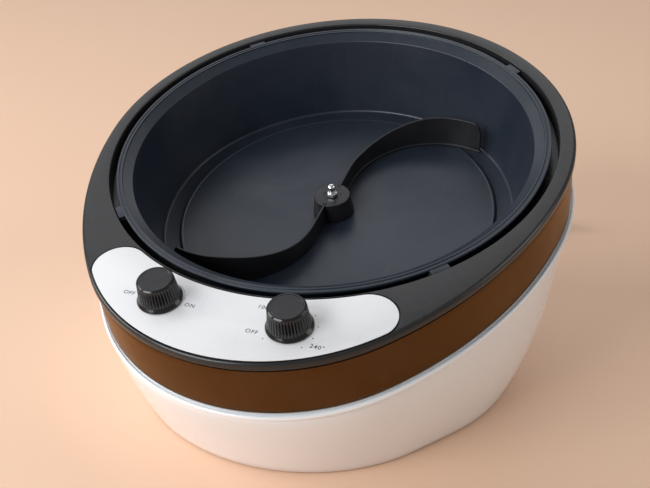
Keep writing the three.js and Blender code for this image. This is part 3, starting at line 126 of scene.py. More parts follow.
class BodySettings(bpy.types.PropertyGroup):
    rear_radius: FloatProperty(
        name="Rear radius", description="Radius of the deck's rear arc", default=0.1652, min=0.1, **SIZE)
    nose_radius: FloatProperty(
        name="Nose radius", description="Radius of the deck's front arc", default=0.1317, min=0.08, **SIZE)
    tip_reach: FloatProperty(name="Tip reach", description="From the pan axis to the deck's front tip", default=0.2117, **SIZE)
    edge_round: FloatProperty(
        name="Edge round", description="Round of the deck's outer top edge", default=0.0024, min=0.0002, **SIZE)
    band_height: FloatProperty(name="Band height", description="Height of the brown band", default=0.039, min=0.01, **SIZE)
    deck_colour: FloatVectorProperty(
        name="Deck colour", description="Satin charcoal of the deck", default=(0.016, 0.016, 0.017, 1), **COLOUR)
    band_colour: FloatVectorProperty(
        name="Band colour", description="Brown metal of the band", default=(0.094, 0.046, 0.018, 1), **COLOUR)
    shell_colour: FloatVectorProperty(
        name="Shell colour", description="Gloss white of the lower shell", default=(0.82, 0.84, 0.86, 1), **COLOUR)


class PanelSettings(bpy.types.PropertyGroup):
    inner_radius: FloatProperty(
        name="Inner radius", description="Inner arc of the panel round the pan axis", default=0.157, **SIZE)
    edge_inset: FloatProperty(name="Edge inset", description="Deck left showing outside the panel", default=0.0028, **SIZE)
    half_angle: FloatProperty(
        name="Half angle", description="Half the sweep between the round ends", default=math.radians(28.4), unit="ROTATION")
    end_radius: FloatProperty(name="End radius", description="Round of the panel's ends", default=0.018, **SIZE)
    end_reach: FloatProperty(
        name="End reach", description="From the pan axis to the middle of a round end", default=0.175, **SIZE)
    proud: FloatProperty(name="Proud", description="Height of the panel over the deck", default=0.0003, **SIZE)
    thickness: FloatProperty(name="Thickness", description="Thickness of the panel", default=0.0012, min=0.0004, **SIZE)
    colour: FloatVectorProperty(
        name="Panel colour", description="Satin silver of the panel", default=(0.76, 0.76, 0.77, 1), **COLOUR)
    ink: FloatVectorProperty(
        name="Ink colour", description="Colour of the dial marks", default=(0.035, 0.037, 0.050, 1), **COLOUR)


class PanSettings(bpy.types.PropertyGroup):
    rim_radius: FloatProperty(name="Rim radius", description="Outer radius of the pan's rim", default=0.150, **SIZE)
    step_radius: FloatProperty(name="Step radius", description="Radius of the step inside the rim", default=0.1456, **SIZE)
    lip_radius: FloatProperty(name="Lip radius", description="Radius at the top of the wall", default=0.139, **SIZE)
    floor_radius: FloatProperty(name="Floor radius", description="Radius at the foot of the wall", default=0.1284, **SIZE)
    disc_radius: FloatProperty(name="Disc radius", description="Radius of the raised disc in the floor", default=0.115, **SIZE)
    depth: FloatProperty(name="Depth", description="Depth of the pan under its rim", default=0.0636, **SIZE)
    colour: FloatVectorProperty(
        name="Pan colour", description="Dark non-stick coat of the pan", default=(0.013, 0.019, 0.031, 1), **COLOUR)


class BladeSettings(bpy.types.PropertyGroup):
    height: FloatProperty(name="Blade height", description="Height of the blade arms", default=0.0245, **SIZE)
    sheet: FloatProperty(name="Blade thickness", description="Thickness of the blade arms", default=0.0016, **SIZE)
    straight: FloatProperty(name="Straight", description="Reach at which an arm starts to bend", default=0.0345, **SIZE)
    curve_radius: FloatProperty(name="Curve radius", description="Radius that an arm is bent on", default=0.060, **SIZE)
    sweep: FloatProperty(
        name="Sweep", description="Angle that an arm bends through", default=math.radians(112.5), unit="ROTATION")
    hub_radius: FloatProperty(name="Hub radius", description="Radius of the hub at its base", default=0.0150, **SIZE)
    colour: FloatVectorProperty(
        name="Blade colour", description="Black moulding of hub and arms", default=(0.010, 0.010, 0.011, 1), **COLOUR)


class KnobSettings(bpy.types.PropertyGroup):
    reach: FloatProperty(name="Reach", description="From the pan axis to a knob", default=0.17895, **SIZE)
    half_angle: FloatProperty(
        name="Half angle", description="Angle of a knob from the front", default=math.radians(13.9), unit="ROTATION")
    base_radius: FloatProperty(name="Base radius", description="Radius of a knob's skirt", default=0.0145, **SIZE)
    height: FloatProperty(name="Height", description="Height of a knob", default=0.016, **SIZE)
    ribs: IntProperty(name="Ribs", description="Ribs round a knob's grip", default=40, min=8, max=60)
    rib_depth: FloatProperty(name="Rib depth", description="Depth between two ribs", default=0.0009, **SIZE)
    colour: FloatVectorProperty(
        name="Knob colour", description="Black of the knobs", default=(0.007, 0.007, 0.008, 1), **COLOUR)


class CordSettings(bpy.types.PropertyGroup):
    diameter: FloatProperty(name="Diameter", description="Diameter of the cord", default=0.0064, **SIZE)
    coil_radius: FloatProperty(
        name="Coil radius", description="Outer turn of the coil, to the cord's middle", default=0.044, **SIZE)
    coil_pitch: FloatProperty(name="Coil pitch", description="From one turn to the next", default=0.0072, **SIZE)
    colour: FloatVectorProperty(
        name="Cord colour", description="Black of cord and plug", default=(0.018, 0.018, 0.019, 1), **COLOUR)


class StageSettings(bpy.types.PropertyGroup):
    lens: FloatProperty(name="Lens", description="Focal length in millimetres", default=56.354, min=10)
    floor_colour: FloatVectorProperty(
        name="Floor colour", description="Plain pale floor", default=(0.87, 0.59, 0.42, 1), **COLOUR)
    key_power: FloatProperty(name="Window light", description="Large soft light at the left", default=23, unit="POWER")
    fill_power: FloatProperty(name="Fill light", description="Soft light from the front", default=32, unit="POWER")
    ceiling_power: FloatProperty(
        name="Ceiling light", description="Broad soft light high at the rear", default=20, unit="POWER")
    side_power: FloatProperty(name="Side light", description="Soft light from the right", default=8, unit="POWER")
    sky_level: FloatProperty(name="Room level", description="Even light of the room", default=0.30, min=0)


def settings(name):
    return getattr(bpy.context.scene, "roaster_" + name)


# Egg outlines: sideways x and forward reach f, both from the pan axis
class Egg:
    """Outline of a rear arc, a nose arc and two flank arcs that touch both."""

    def __init__(self, rear_radius, rear_shift, nose_radius, tip_reach, flank_radius):
        self.sizes = (rear_radius, rear_shift, nose_radius, tip_reach, flank_radius)
        rear, nose = -rear_shift, tip_reach - nose_radius
        gap = nose - rear
        to_rear, to_nose = flank_radius - rear_radius, flank_radius - nose_radius
        along = (to_rear ** 2 - to_nose ** 2 + gap ** 2) / (2 * gap)
        aside = math.sqrt(max(to_rear ** 2 - along ** 2, 0))
        flank = (-aside, rear + along)
        nose_turn = math.atan2(nose - flank[1], aside)
        rear_turn = math.atan2(rear - flank[1], aside)
        self.arcs = [
            ((0, nose), nose_radius, math.pi / 2, nose_turn),
            (flank, flank_radius, nose_turn, rear_turn),
            ((0, rear), rear_radius, rear_turn, -math.pi / 2),
        ]

    def inset(self, distance):
        rear_radius, rear_shift, nose_radius, tip_reach, flank_radius = self.sizes
        return Egg(rear_radius - distance, rear_shift, nose_radius - distance, tip_reach - distance, flank_radius - distance)

    def pushed_back(self, distance):
        rear_radius, rear_shift, nose_radius, tip_reach, flank_radius = self.sizes
        return Egg(rear_radius, rear_shift + distance, nose_radius, tip_reach - distance, flank_radius)

    def points(self, half_steps):
        """Evenly spaced points, from the nose tip round the right side and back up the left."""
        lengths = [radius * abs(end - start) for _, radius, start, end in self.arcs]
        right = []
        for i in range(half_steps + 1):
            left_over = sum(lengths) * i / half_steps
            for (centre, radius, start, end), length in zip(self.arcs, lengths):
                if left_over <= length + 1e-9:
                    turn = start + (end - start) * left_over / length
                    right.append((centre[0] + radius * math.cos(turn), centre[1] + radius * math.sin(turn)))
                    break
                left_over -= length
        return right + [(-x, f) for x, f in reversed(right[1:-1])]

    def reach(self, angle):
        """Distance from the pan axis at an angle from the front."""
        x, f = abs(math.sin(angle)), math.cos(angle)
        best = None
        for centre, radius, start, end in self.arcs:
            along = x * centre[0] + f * centre[1]
            distance = along + math.sqrt(max(along ** 2 - centre[0] ** 2 - centre[1] ** 2 + radius ** 2, 0))
            turn = math.atan2(f * distance - centre[1], x * distance - centre[0])
            miss = max(turn - start, end - turn, 0)
            if best is None or miss < best[0]:
                best = (miss, distance)
        return best[1]


def deck_egg():
    body = settings("body")
    return Egg(body.rear_radius, 0, body.nose_radius, body.tip_reach, FLANK_RADIUS)


def seam_egg():
    return deck_egg().inset(BAND_TAPER).pushed_back(BAND_LEAN)


def lean_over(height):
    return (BAND_LEAN + BAND_TAPER) * height / settings("body").band_height


def leaning(outline, up, half_steps=120):
    return [DECK @ Vector((x, -f, up)) for x, f in outline.points(half_steps)]


def level(outline, height, half_steps=120):
    return [LEVEL @ Vector((x, -f, height)) for x, f in outline.points(half_steps)]


def polar(reach, angle):
    return reach * math.sin(angle), -reach * math.cos(angle)


def on_deck(x, y, up=0.0, turn=0.0):
    """A place in the deck's leaning frame, turned about its normal."""
    return DECK @ Matrix.Translation((x, y, up)) @ Matrix.Rotation(turn, 4, "Z")


def eased(share):
    """A share from 0 to 1 that starts and ends softly."""
    return share * share * (3 - 2 * share)


# Mesh making
def rounded_line(corners, closed=True, steps=4):
    """Turn (a, b, radius) corners into a line whose corners with a radius are arcs."""
    line = []
    for i, (a, b, radius) in enumerate(corners):
        here = Vector((a, b))
        if radius <= 0 or (not closed and i in (0, len(corners) - 1)):
            line.append((a, b))
            continue
        back = Vector(corners[i - 1][:2]) - here
        on = Vector(corners[(i + 1) % len(corners)][:2]) - here
        half = back.angle(on) / 2
        tangent = min(radius / math.tan(half), 0.49 * back.length, 0.49 * on.length)
        arc_radius = tangent * math.tan(half)
        centre = here + (back.normalized() + on.normalized()).normalized() * (arc_radius / math.sin(half))
        first = here + back.normalized() * tangent - centre
        last = here + on.normalized() * tangent - centre
        start = math.atan2(first.y, first.x)
        sweep = (math.atan2(last.y, last.x) - start + math.pi) % (FULL_TURN) - math.pi
        for k in range(steps + 1):
            turn = start + sweep * k / steps
            line.append((centre.x + arc_radius * math.cos(turn), centre.y + arc_radius * math.sin(turn)))
    return line


def placed(name, data):
    """A new object in the scene that shows a mesh, a curve, a light or a camera."""
    item = bpy.data.objects.new(name, data)
    bpy.context.scene.collection.objects.link(item)
    return item


def clean_mesh(name, points, faces):
    mesh = bpy.data.meshes.new(name)
    mesh.from_pydata([tuple(p) for p in points], [], faces)
    made = bmesh.new()
    made.from_mesh(mesh)
    bmesh.ops.recalc_face_normals(made, faces=made.faces)
    made.to_mesh(mesh)
    made.free()
    return mesh


def ring_body(name, rings, closed=True):
    """Skin over rings of equal point counts, closed on itself or capped at both ends."""
    count = len(rings[0])
    points = [p for ring in rings for p in ring]
    faces = []
    for r in range(len(rings) if closed else len(rings) - 1):
        low, high = r * count, ((r + 1) % len(rings)) * count
        for i in range(count):
            j = (i + 1) % count
            faces.append((low + i, low + j, high + j, high + i))
    if not closed:
        faces.append(tuple(range(count - 1, -1, -1)))
        faces.append(tuple(range(len(points) - count, len(points))))
    return clean_mesh(name, points, faces)


def turned(name, profile, place, steps=96, closed=False, ribs=0):
    """Turn (radius, height) points about the Z axis of a place. A third value is the depth between ribs."""
    points, rows, faces = [], [], []
    for radius, height, *depth in profile:
        turns = [0] if radius < 1e-7 else [FULL_TURN * i / steps for i in range(steps)]
        rows.append(range(len(points), len(points) + len(turns)))
        for turn in turns:
            reach = radius - sum(depth) * (0.5 + 0.5 * math.cos(ribs * turn)) ** RIB_SHARPNESS
            points.append(place @ Vector((reach * math.cos(turn), reach * math.sin(turn), height)))
    pairs = list(zip(rows, rows[1:])) + ([(rows[-1], rows[0])] if closed else [])
    for low, high in pairs:
        for i in range(steps):
            j = (i + 1) % steps
            if len(low) > 1 and len(high) > 1:
                faces.append((low[i], low[j], high[j], high[i]))
            elif len(high) > 1:
                faces.append((low[0], high[j], high[i]))
            elif len(low) > 1:
                faces.append((low[i], low[j], high[0]))
    return clean_mesh(name, points, faces)


def block(name, size, edge, place):
    """A small moulded block with rounded edges."""
    made = bmesh.new()
    bmesh.ops.create_cube(made, size=1)
    bmesh.ops.scale(made, vec=size, verts=made.verts)
    bmesh.ops.bevel(made, geom=made.edges[:], offset=edge, segments=3, profile=0.5, affect="EDGES")
    bmesh.ops.transform(made, matrix=place, verts=made.verts)
    mesh = bpy.data.meshes.new(name)
    made.to_mesh(mesh)
    made.free()
    return mesh


def prism(name, outline, low, high, place):
    """An upright solid over a flat outline of (x, y) points."""
    return ring_body(name, [[place @ Vector((x, y, z)) for x, y in outline] for z in (low, high)], closed=False)


def joined(name, *meshes):
    made = bmesh.new()
    for mesh in meshes:
        made.from_mesh(mesh)
    mesh = bpy.data.meshes.new(name)
    made.to_mesh(mesh)
    made.free()
    return mesh


def carved(base, tools, operation="DIFFERENCE"):
    """Cut the tools out of a mesh, or add them to it."""
    work = placed("carving_block", base)
    cutters = [placed("carving_tool", tool) for tool in tools]
    for cutter in cutters:
        modifier = work.modifiers.new("carve", "BOOLEAN")
        modifier.operation = operation
        modifier.solver = "EXACT"
        modifier.object = cutter
    bpy.context.view_layer.update()
    graph = bpy.context.evaluated_depsgraph_get()
    mesh = bpy.data.meshes.new_from_object(work.evaluated_get(graph))
    for item in [work, *cutters]:
        bpy.data.objects.remove(item, do_unlink=True)
    if len(mesh.polygons) < 4:
        raise RuntimeError(f"carving {base.name} left nothing")
    return mesh


def make_piece(name, mesh, body, material, replaces=(), sharp=32):
    """Put a finished mesh into the model as one piece that rides on a body."""
    mesh.name = name
    mesh.shade_smooth()
    mesh.set_sharp_from_angle(angle=math.radians(sharp))
    piece = placed(name, mesh)
    mesh.materials.clear()
    mesh.materials.append(material)
    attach(piece, body)
    if replaces:
        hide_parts(*replaces)
    return piece


# Shader node groups that several finishes share
def add_node(tree, kind, **values):
    node = tree.nodes.new(kind)
    for key, value in values.items():
        if key in node.inputs:
            node.inputs[key].default_value = value
        else:
            setattr(node, key, value)
    return node


def feed(tree, value, socket):
    """Give a socket a number, or link it to another socket."""
    if isinstance(value, (int, float)):
        socket.default_value = value
    else:
        tree.links.new(value, socket)


def scaled_noise(tree, place, scale, **values):
    noise = add_node(tree, "ShaderNodeTexNoise", **values)
    feed(tree, place, noise.inputs["Vector"])
    feed(tree, scale, noise.inputs["Scale"])
    return noise.outputs["Fac"]


def combine(tree, operation, first, second):
    node = add_node(tree, "ShaderNodeMath", operation=operation)
    feed(tree, first, node.inputs[0])
    feed(tree, second, node.inputs[1])
    return node.outputs[0]


def spread(tree, value, low, high, to_low=0.0, to_high=1.0, curve="SMOOTHSTEP"):
    node = add_node(tree, "ShaderNodeMapRange", interpolation_type=curve)
    for key, number in (("Value", value), ("From Min", low), ("From Max", high), ("To Min", to_low), ("To Max", to_high)):
        feed(tree, number, node.inputs[key])
    return node.outputs["Result"]


def stretched(tree, place, scale, turn=0.0):
    mapping = add_node(tree, "ShaderNodeMapping", Scale=scale, Rotation=(0.0, 0.0, turn))
    feed(tree, place, mapping.inputs["Vector"])
    return mapping.outputs["Vector"]


def moulded_grain(tree, place, given):
    """Fine texture of a moulding, with a slow mottle."""
    fine = scaled_noise(tree, place, given["Scale"], Detail=2.0, Roughness=0.6)
    slow = scaled_noise(tree, place, given["Mottle scale"], Detail=4.0, Roughness=0.55)
    return fine, spread(tree, slow, 0.3, 0.7)


def edge_wear_and_highlight(tree, place, given):
    """Outer edges made lighter, broken up along their length: rubbed wear, and on the deck and the blade also a painted
    highlight along the edges.
    """
    edges = add_node(tree, "ShaderNodeNewGeometry").outputs["Pointiness"]
    rise = combine(tree, "MULTIPLY", combine(tree, "SUBTRACT", edges, given["Start"]), 14.0)
    broken = spread(tree, scaled_noise(tree, place, given["Scale"], Detail=3.0), 0.42, 0.66)
    held = add_node(tree, "ShaderNodeClamp")
    feed(tree, combine(tree, "MULTIPLY", rise, broken), held.inputs["Value"])
    return [held.outputs["Result"]]


def handling_marks(tree, place, given):
    """Faint smears and fine scratches that change the gloss."""
    smear = scaled_noise(tree, place, given["Scale"], Detail=5.0, Roughness=0.62, Distortion=1.4)
    scratch = scaled_noise(tree, stretched(tree, place, (260.0, 14.0, 60.0), 0.6), 1.0, Detail=2.0)
    return spread(tree, smear, 0.35, 0.7), spread(tree, scratch, 0.66, 0.74)


def brushed_lines(tree, place, given):
    """Fine lines of a brushed or rolled sheet, along the part's X axis."""
    along = stretched(tree, place, (0.02, 1.0, 1.0))
    lines = scaled_noise(tree, along, given["Fineness"], Detail=3.0, Roughness=0.7)
    return lines, spread(tree, lines, 0.3, 0.7)


def coating_specks(tree, place, given):
    """Small light specks and the slight orange peel of a baked coat."""
    cells = add_node(tree, "ShaderNodeTexVoronoi", feature="F1", Randomness=1.0)
    feed(tree, place, cells.inputs["Vector"])
    feed(tree, given["Scale"], cells.inputs["Scale"])
    near = spread(tree, cells.outputs["Distance"], 0.0, 0.24, 1.0, 0.0)
    chosen = spread(tree, scaled_noise(tree, place, 1400.0, Detail=1.0), 0.5, 0.6)
    return combine(tree, "MULTIPLY", near, chosen), scaled_noise(tree, place, 700.0, Detail=2.0)


def settled_dust(tree, place, given):
    """A thin, patchy veil on surfaces that face up."""
    up = add_node(tree, "ShaderNodeSeparateXYZ")
    feed(tree, add_node(tree, "ShaderNodeNewGeometry").outputs["Normal"], up.inputs["Vector"])
    patch = spread(tree, scaled_noise(tree, place, given["Scale"], Detail=6.0, Roughness=0.7), 0.4, 0.75)
    facing = spread(tree, up.outputs["Z"], 0.4, 1.0)
    return [combine(tree, "MULTIPLY", combine(tree, "MULTIPLY", patch, facing), given["Amount"])]


# Each effect: the group's name, what fills it, its inputs with their usual values, and its outputs
EFFECTS = {
    "grain": ("Moulded grain", moulded_grain, {"Scale": 2400.0, "Mottle scale": 60.0}, ("Height", "Mottle")),
    "wear": ("Edge wear", edge_wear_and_highlight, {"Start": 0.53, "Scale": 180.0}, ("Wear",)),
    "marks": ("Handling marks", handling_marks, {"Scale": 24.0}, ("Smear", "Scratch")),
    "brushed": ("Brushed lines", brushed_lines, {"Fineness": 2600.0}, ("Height", "Tone")),
    "specks": ("Coating specks", coating_specks, {"Scale": 900.0}, ("Speck", "Peel")),
    "dust": ("Settled dust", settled_dust, {"Scale": 90.0, "Amount": 0.1}, ("Dust",)),
}


def effect_group(key):
    """The node group of an effect, made when it is first asked for."""
    name, fill, inputs, outputs = EFFECTS[key]
    tree = bpy.data.node_groups.get(name)
    if tree:
        return tree
    tree = bpy.data.node_groups.new(name, "ShaderNodeTree")
    for label, default in inputs.items():
        tree.interface.new_socket(name=label, in_out="INPUT", socket_type="NodeSocketFloat").default_value = default
    for label in outputs:
        tree.interface.new_socket(name=label, in_out="OUTPUT", socket_type="NodeSocketFloat")
    given, out = tree.nodes.new("NodeGroupInput"), tree.nodes.new("NodeGroupOutput")
    place = add_node(tree, "ShaderNodeTexCoord").outputs["Object"]
    for socket, label in zip(fill(tree, place, given.outputs), outputs):
        feed(tree, socket, out.inputs[label])
    return tree


# Finishes of the pieces, as finished() reads them
FINISHES = {
    "Deck satin": {
        "colour": "body.deck_colour", "roughness": 0.4, "own": {"Specular IOR Level": 0.37},
        "effects": {"grain": (2600, 40), "marks": (16,), "dust": (220, 0.02), "wear": (0.54, 240)},
        # On the deck the edge wear tint is rubbed wear and also a painted highlight along the outer fillet.
        "tints": [("Mottle", 0.004, 0.5), ("Dust", (0.35, 0.34, 0.32), 1), ("Wear", 0.02, 0.3)],
        "gloss": ("Smear", 0.22, 0.30), "relief": [("Height", 0.14, 0.00005)]},
    "Panel silver": {
        "colour": "panel.colour", "roughness": 0.36, "own": {"Metallic": 0.15},
        "effects": {"brushed": (3200,), "marks": (20,)},
        "tints": [("Tone", 0.06, 0.5), ("Scratch", -0.10, 0.25)],
        "gloss": ("Smear", 0.33, 0.42), "relief": [("Height", 0.12, 0.00004)]},
    "Band brown": {
        "colour": "body.band_colour", "roughness": 0.36, "own": {"Metallic": 0.85, "Specular Tint": (0.94, 0.74, 0.56, 1)},
        "effects": {"grain": (3600, 30), "marks": (14,)},
        "tints": [("Mottle", -0.02, 0.4), ("Scratch", 0.03, 0.2)],
        "gloss": ("Smear", 0.30, 0.38), "relief": [("Height", 0.15, 0.00003)]},
    "White gloss moulding": {
        "colour": "body.shell_colour", "roughness": 0.2, "own": {"Coat Weight": 0.3, "Coat Roughness": 0.12},
        "effects": {"grain": (500, 18), "marks": (12,), "dust": (160, 0.06)},
        "tints": [("Mottle", -0.03, 0.5), ("Dust", (0.6, 0.57, 0.52), 1)],
        "gloss": ("Smear", 0.17, 0.27), "relief": [("Height", 0.05, 0.00008)]},
    "Pan coat": {
        "colour": "pan.colour", "roughness": 0.42, "own": {"Metallic": 0.08},
        "effects": {"specks": (1100,), "grain": (1500, 26), "marks": (10,)},
        "tints": [("Mottle", 0.010, 0.6), ("Speck", (0.16, 0.17, 0.20), 0.35), ("Scratch", 0.05, 0.12)],
        "gloss": ("Smear", 0.31, 0.41), "relief": [("Peel", 0.22, 0.00008), ("Height", 0.12, 0.00004)]},
    "Blade black": {
        "colour": "blade.colour", "roughness": 0.36, "own": {"Specular IOR Level": 0.42},
        "effects": {"grain": (2000, 70), "marks": (30,), "wear": (0.54, 300)},
        # On the blade the edge wear tint is rubbed wear and also a painted highlight along the arms' top edges.
        "tints": [("Mottle", 0.006, 0.6), ("Wear", 0.06, 0.6)],
        "gloss": ("Smear", 0.28, 0.40), "relief": [("Height", 0.2, 0.00005)]},
    "Knob black": {
        "colour": "knob.colour", "roughness": 0.3, "own": {"Specular IOR Level": 0.42},
        "effects": {"grain": (3000, 120), "marks": (60,), "wear": (0.55, 500)},
        "tints": [("Mottle", 0.006, 0.5), ("Wear", 0.05, 0.5)],
        "gloss": ("Smear", 0.12, 0.20), "relief": [("Height", 0.08, 0.00003)]},
    "Chrome plate": {
        "colour": (0.78, 0.78, 0.79), "roughness": 0.1, "own": {"Metallic": 1.0},
        "effects": {"marks": (160,)}, "tints": [("Smear", (0.62, 0.62, 0.63), 0.3)],
        "gloss": ("Smear", 0.06, 0.16), "relief": [("Smear", 0.04, 0.00003)]},
    "Bare steel": {
        "colour": (0.52, 0.53, 0.54), "roughness": 0.36, "own": {"Metallic": 0.95},
        "effects": {"brushed": (1800,), "marks": (50,)},
        "tints": [("Tone", (0.62, 0.62, 0.62), 0.5), ("Smear", (0.34, 0.34, 0.36), 0.35)],
        "gloss": ("Smear", 0.28, 0.46), "relief": [("Height", 0.15, 0.00004)]},
    "Heated steel": {
        "colour": (0.50, 0.50, 0.50), "roughness": 0.42, "own": {"Metallic": 0.9},
        "effects": {"grain": (900, 34), "marks": (22,)},
        "tints": [("Mottle", (0.44, 0.36, 0.24), 0.5), ("Smear", (0.24, 0.24, 0.30), 0.45)],
        "gloss": ("Mottle", 0.34, 0.52), "relief": [("Height", 0.2, 0.00006)]},
    "Screw zinc": {
        "colour": (0.60, 0.60, 0.58), "roughness": 0.34, "own": {"Metallic": 0.95},
        "effects": {"marks": (240,), "wear": (0.53, 700)},
        "tints": [("Wear", (0.8, 0.8, 0.78), 0.6), ("Smear", (0.40, 0.39, 0.36), 0.4)],
        "gloss": ("Smear", 0.26, 0.44), "relief": [("Scratch", 0.1, 0.00003)]},
    "Turned brass": {
        "colour": (0.56, 0.40, 0.15), "roughness": 0.34, "own": {"Metallic": 0.95},
        "effects": {"grain": (1600, 120)}, "tints": [("Mottle", (0.36, 0.24, 0.09), 0.5)],
        "gloss": ("Mottle", 0.26, 0.44), "relief": [("Height", 0.12, 0.00004)]},
    "Foot rubber": {
        "colour": (0.022, 0.022, 0.023), "roughness": 0.8,
        "effects": {"grain": (1400, 160), "wear": (0.53, 400)},
        "tints": [("Mottle", (0.045, 0.044, 0.042), 0.6), ("Wear", (0.12, 0.12, 0.11), 0.6)],
        "gloss": ("Mottle", 0.7, 0.9), "relief": [("Height", 0.4, 0.0001)]},
    "Grey moulding": {
        "colour": (0.26, 0.265, 0.26), "roughness": 0.55,
        "effects": {"grain": (1300, 48), "wear": (0.54, 260)},
        "tints": [("Mottle", (0.21, 0.215, 0.21), 0.6), ("Wear", (0.40, 0.40, 0.39), 0.5)],
        "gloss": ("Mottle", 0.48, 0.62), "relief": [("Height", 0.35, 0.00008)]},
    "Terminal white": {
        "colour": (0.62, 0.60, 0.55), "roughness": 0.45,
        "effects": {"grain": (1000, 90)}, "tints": [("Mottle", (0.54, 0.52, 0.46), 0.6)],
        "gloss": ("Mottle", 0.38, 0.52), "relief": [("Height", 0.2, 0.00006)]},
    "Cord sheath": {
        "colour": "cord.colour", "roughness": 0.55,
        "effects": {"grain": (1800, 110), "marks": (80,), "dust": (300, 0.08)},
        "tints": [("Mottle", 0.012, 0.7), ("Dust", (0.30, 0.29, 0.27), 1)],
        "gloss": ("Smear", 0.45, 0.62), "relief": [("Height", 0.3, 0.00008)]},
    "Plug moulding": {
        "colour": "cord.colour", "roughness": 0.42,
        "effects": {"grain": (2200, 90), "wear": (0.54, 400)},
        "tints": [("Mottle", 0.010, 0.7), ("Wear", 0.06, 0.5)],
        "gloss": ("Mottle", 0.36, 0.48), "relief": [("Height", 0.3, 0.00007)]},
    "Printed ink": {
        "colour": "panel.ink", "roughness": 0.5,
        "effects": {"grain": (5200, 900)}, "tints": [("Mottle", 0.05, 0.5)],
        "gloss": ("Mottle", 0.45, 0.6), "relief": [("Height", 0.1, 0.00002)]},
}


def plain_shader(name, colour, roughness):
    """A material with only its shader, ready for effects."""
    material = bpy.data.materials.new(name)
    material.use_nodes = True
    material.diffuse_color = colour
    tree = material.node_tree
    tree.nodes.clear()
    shader = add_node(tree, "ShaderNodeBsdfPrincipled", **{"Base Color": colour, "Roughness": roughness})
    feed(tree, shader.outputs["BSDF"], tree.nodes.new("ShaderNodeOutputMaterial").inputs["Surface"])
    return material, tree, shader


def tint(tree, shader, mask, colour, most):
    """Blend the base colour towards another, or towards a lighter or darker one, where a mask is high."""
    base = shader.inputs["Base Color"]
    if isinstance(colour, float):
        colour = [min(1.0, value + colour) for value in base.default_value[:3]]
    mix = add_node(tree, "ShaderNodeMix", data_type="RGBA", A=base.default_value, B=(*colour, 1))
    if base.links:
        feed(tree, base.links[0].from_socket, mix.inputs["A"])
    feed(tree, combine(tree, "MULTIPLY", mask, most), mix.inputs["Factor"])
    feed(tree, mix.outputs["Result"], base)


def raise_surface(tree, shader, height, strength, distance):
    normal = shader.inputs["Normal"]
    bump = add_node(tree, "ShaderNodeBump", Strength=strength, Distance=distance)
    if normal.links:
        feed(tree, normal.links[0].from_socket, bump.inputs["Normal"])
    feed(tree, height, bump.inputs["Height"])
    feed(tree, bump.outputs["Normal"], normal)


def finished(name):
    """The material of a finish, made when it is first asked for.

    Its colour is given or is the name of a setting. Its effects are listed with their inputs. A tint is a mask, a
    colour or a step lighter, and the most of it. Gloss is a mask and two roughness values. A relief is a height, its
    strength and its distance. What is its own goes to the shader as it is.
    """
    if name in bpy.data.materials:
        return bpy.data.materials[name]
    plan = FINISHES[name]
    colour = plan["colour"]
    if isinstance(colour, str):
        group, key = colour.split(".")
        colour = getattr(settings(group), key)[:3]
    material, tree, shader = plain_shader(name, (*colour, 1), plan["roughness"])
    for key, value in plan.get("own", {}).items():
        shader.inputs[key].default_value = value
    masks = {}
    for key, values in plan["effects"].items():
        group = add_node(tree, "ShaderNodeGroup", node_tree=effect_group(key))
        for socket, value in zip(group.inputs, values):
            socket.default_value = value
        masks.update(group.outputs.items())
    for mask, shade, most in plan["tints"]:
        tint(tree, shader, masks[mask], shade, most)
    mask, low, high = plan["gloss"]
    feed(tree, spread(tree, masks[mask], 0.0, 1.0, low, high, "LINEAR"), shader.inputs["Roughness"])
    for height, strength, distance in plan["relief"]:
        raise_surface(tree, shader, masks[height], strength, distance)
    return material


# Stage: camera fitted to the photograph, floor and lights
CAMERA_PLACE = Vector((0.24203, -0.61972, 0.42456))
CAMERA_LOOK = Vector((-0.39935, 0.76629, -0.50332))
CAMERA_UP = Vector((-0.19479, 0.46554, 0.86332))
CAMERA_SHIFT = (0.1585, 0.1147)
SENSOR_WIDTH = 36
FLOOR_REACH = 6
LIGHT_TARGET = Vector((0, 0, 0.1))

# Each light: its place, width, height, the setting with its power, and its colour
LIGHTS = {
    "window_light": ((-1.95, -0.55, 1.2), 1.2, 1.1, "key_power", (1.0, 0.99, 0.97)),
    "fill_light": ((-0.9, -1.7, 1.0), 1.2, 1.0, "fill_power", (0.94, 0.97, 1.0)),
    "ceiling_light": ((-0.9, 1.5, 2.2), 3.2, 2.4, "ceiling_power", (0.97, 0.98, 1.0)),
    "side_light": ((1.9, 0.5, 0.9), 1.0, 1.4, "side_power", (1.0, 0.97, 0.93)),
}


def soft_light(name, spot, width, height, power, colour):
    data = bpy.data.lights.new(name, "AREA")
    data.shape = "RECTANGLE"
    data.size, data.size_y, data.energy, data.color = width, height, power, colour
    aim = (LIGHT_TARGET - Vector(spot)).to_track_quat("-Z", "Y").to_matrix().to_4x4()
    placed(name, data).matrix_world = Matrix.Translation(spot) @ aim


def floor_finish():
    material, tree, shader = plain_shader("Pale floor", tuple(settings("stage").floor_colour), 0.6)
    slow = scaled_noise(tree, add_node(tree, "ShaderNodeTexCoord").outputs["Object"], 3.0, Detail=3.0)
    tint(tree, shader, spread(tree, slow, 0.3, 0.7), -0.02, 0.5)
    return material


def room_world(level):
    """Even light of the room, with a pale background where the camera looks past the floor."""
    world = bpy.data.worlds.new("Room")
    world.use_nodes = True
    tree = world.node_tree
    tree.nodes.clear()
    room = add_node(tree, "ShaderNodeBackground", Color=(0.97, 0.98, 1.0, 1), Strength=level)
    seen = add_node(tree, "ShaderNodeBackground", Color=(0.93, 0.93, 0.93, 1), Strength=1.0)
    mix = add_node(tree, "ShaderNodeMixShader")
    feed(tree, add_node(tree, "ShaderNodeLightPath").outputs["Is Camera Ray"], mix.inputs["Fac"])
    feed(tree, room.outputs[0], mix.inputs[1])
    feed(tree, seen.outputs[0], mix.inputs[2])
    feed(tree, mix.outputs[0], add_node(tree, "ShaderNodeOutputWorld").inputs["Surface"])
    return world


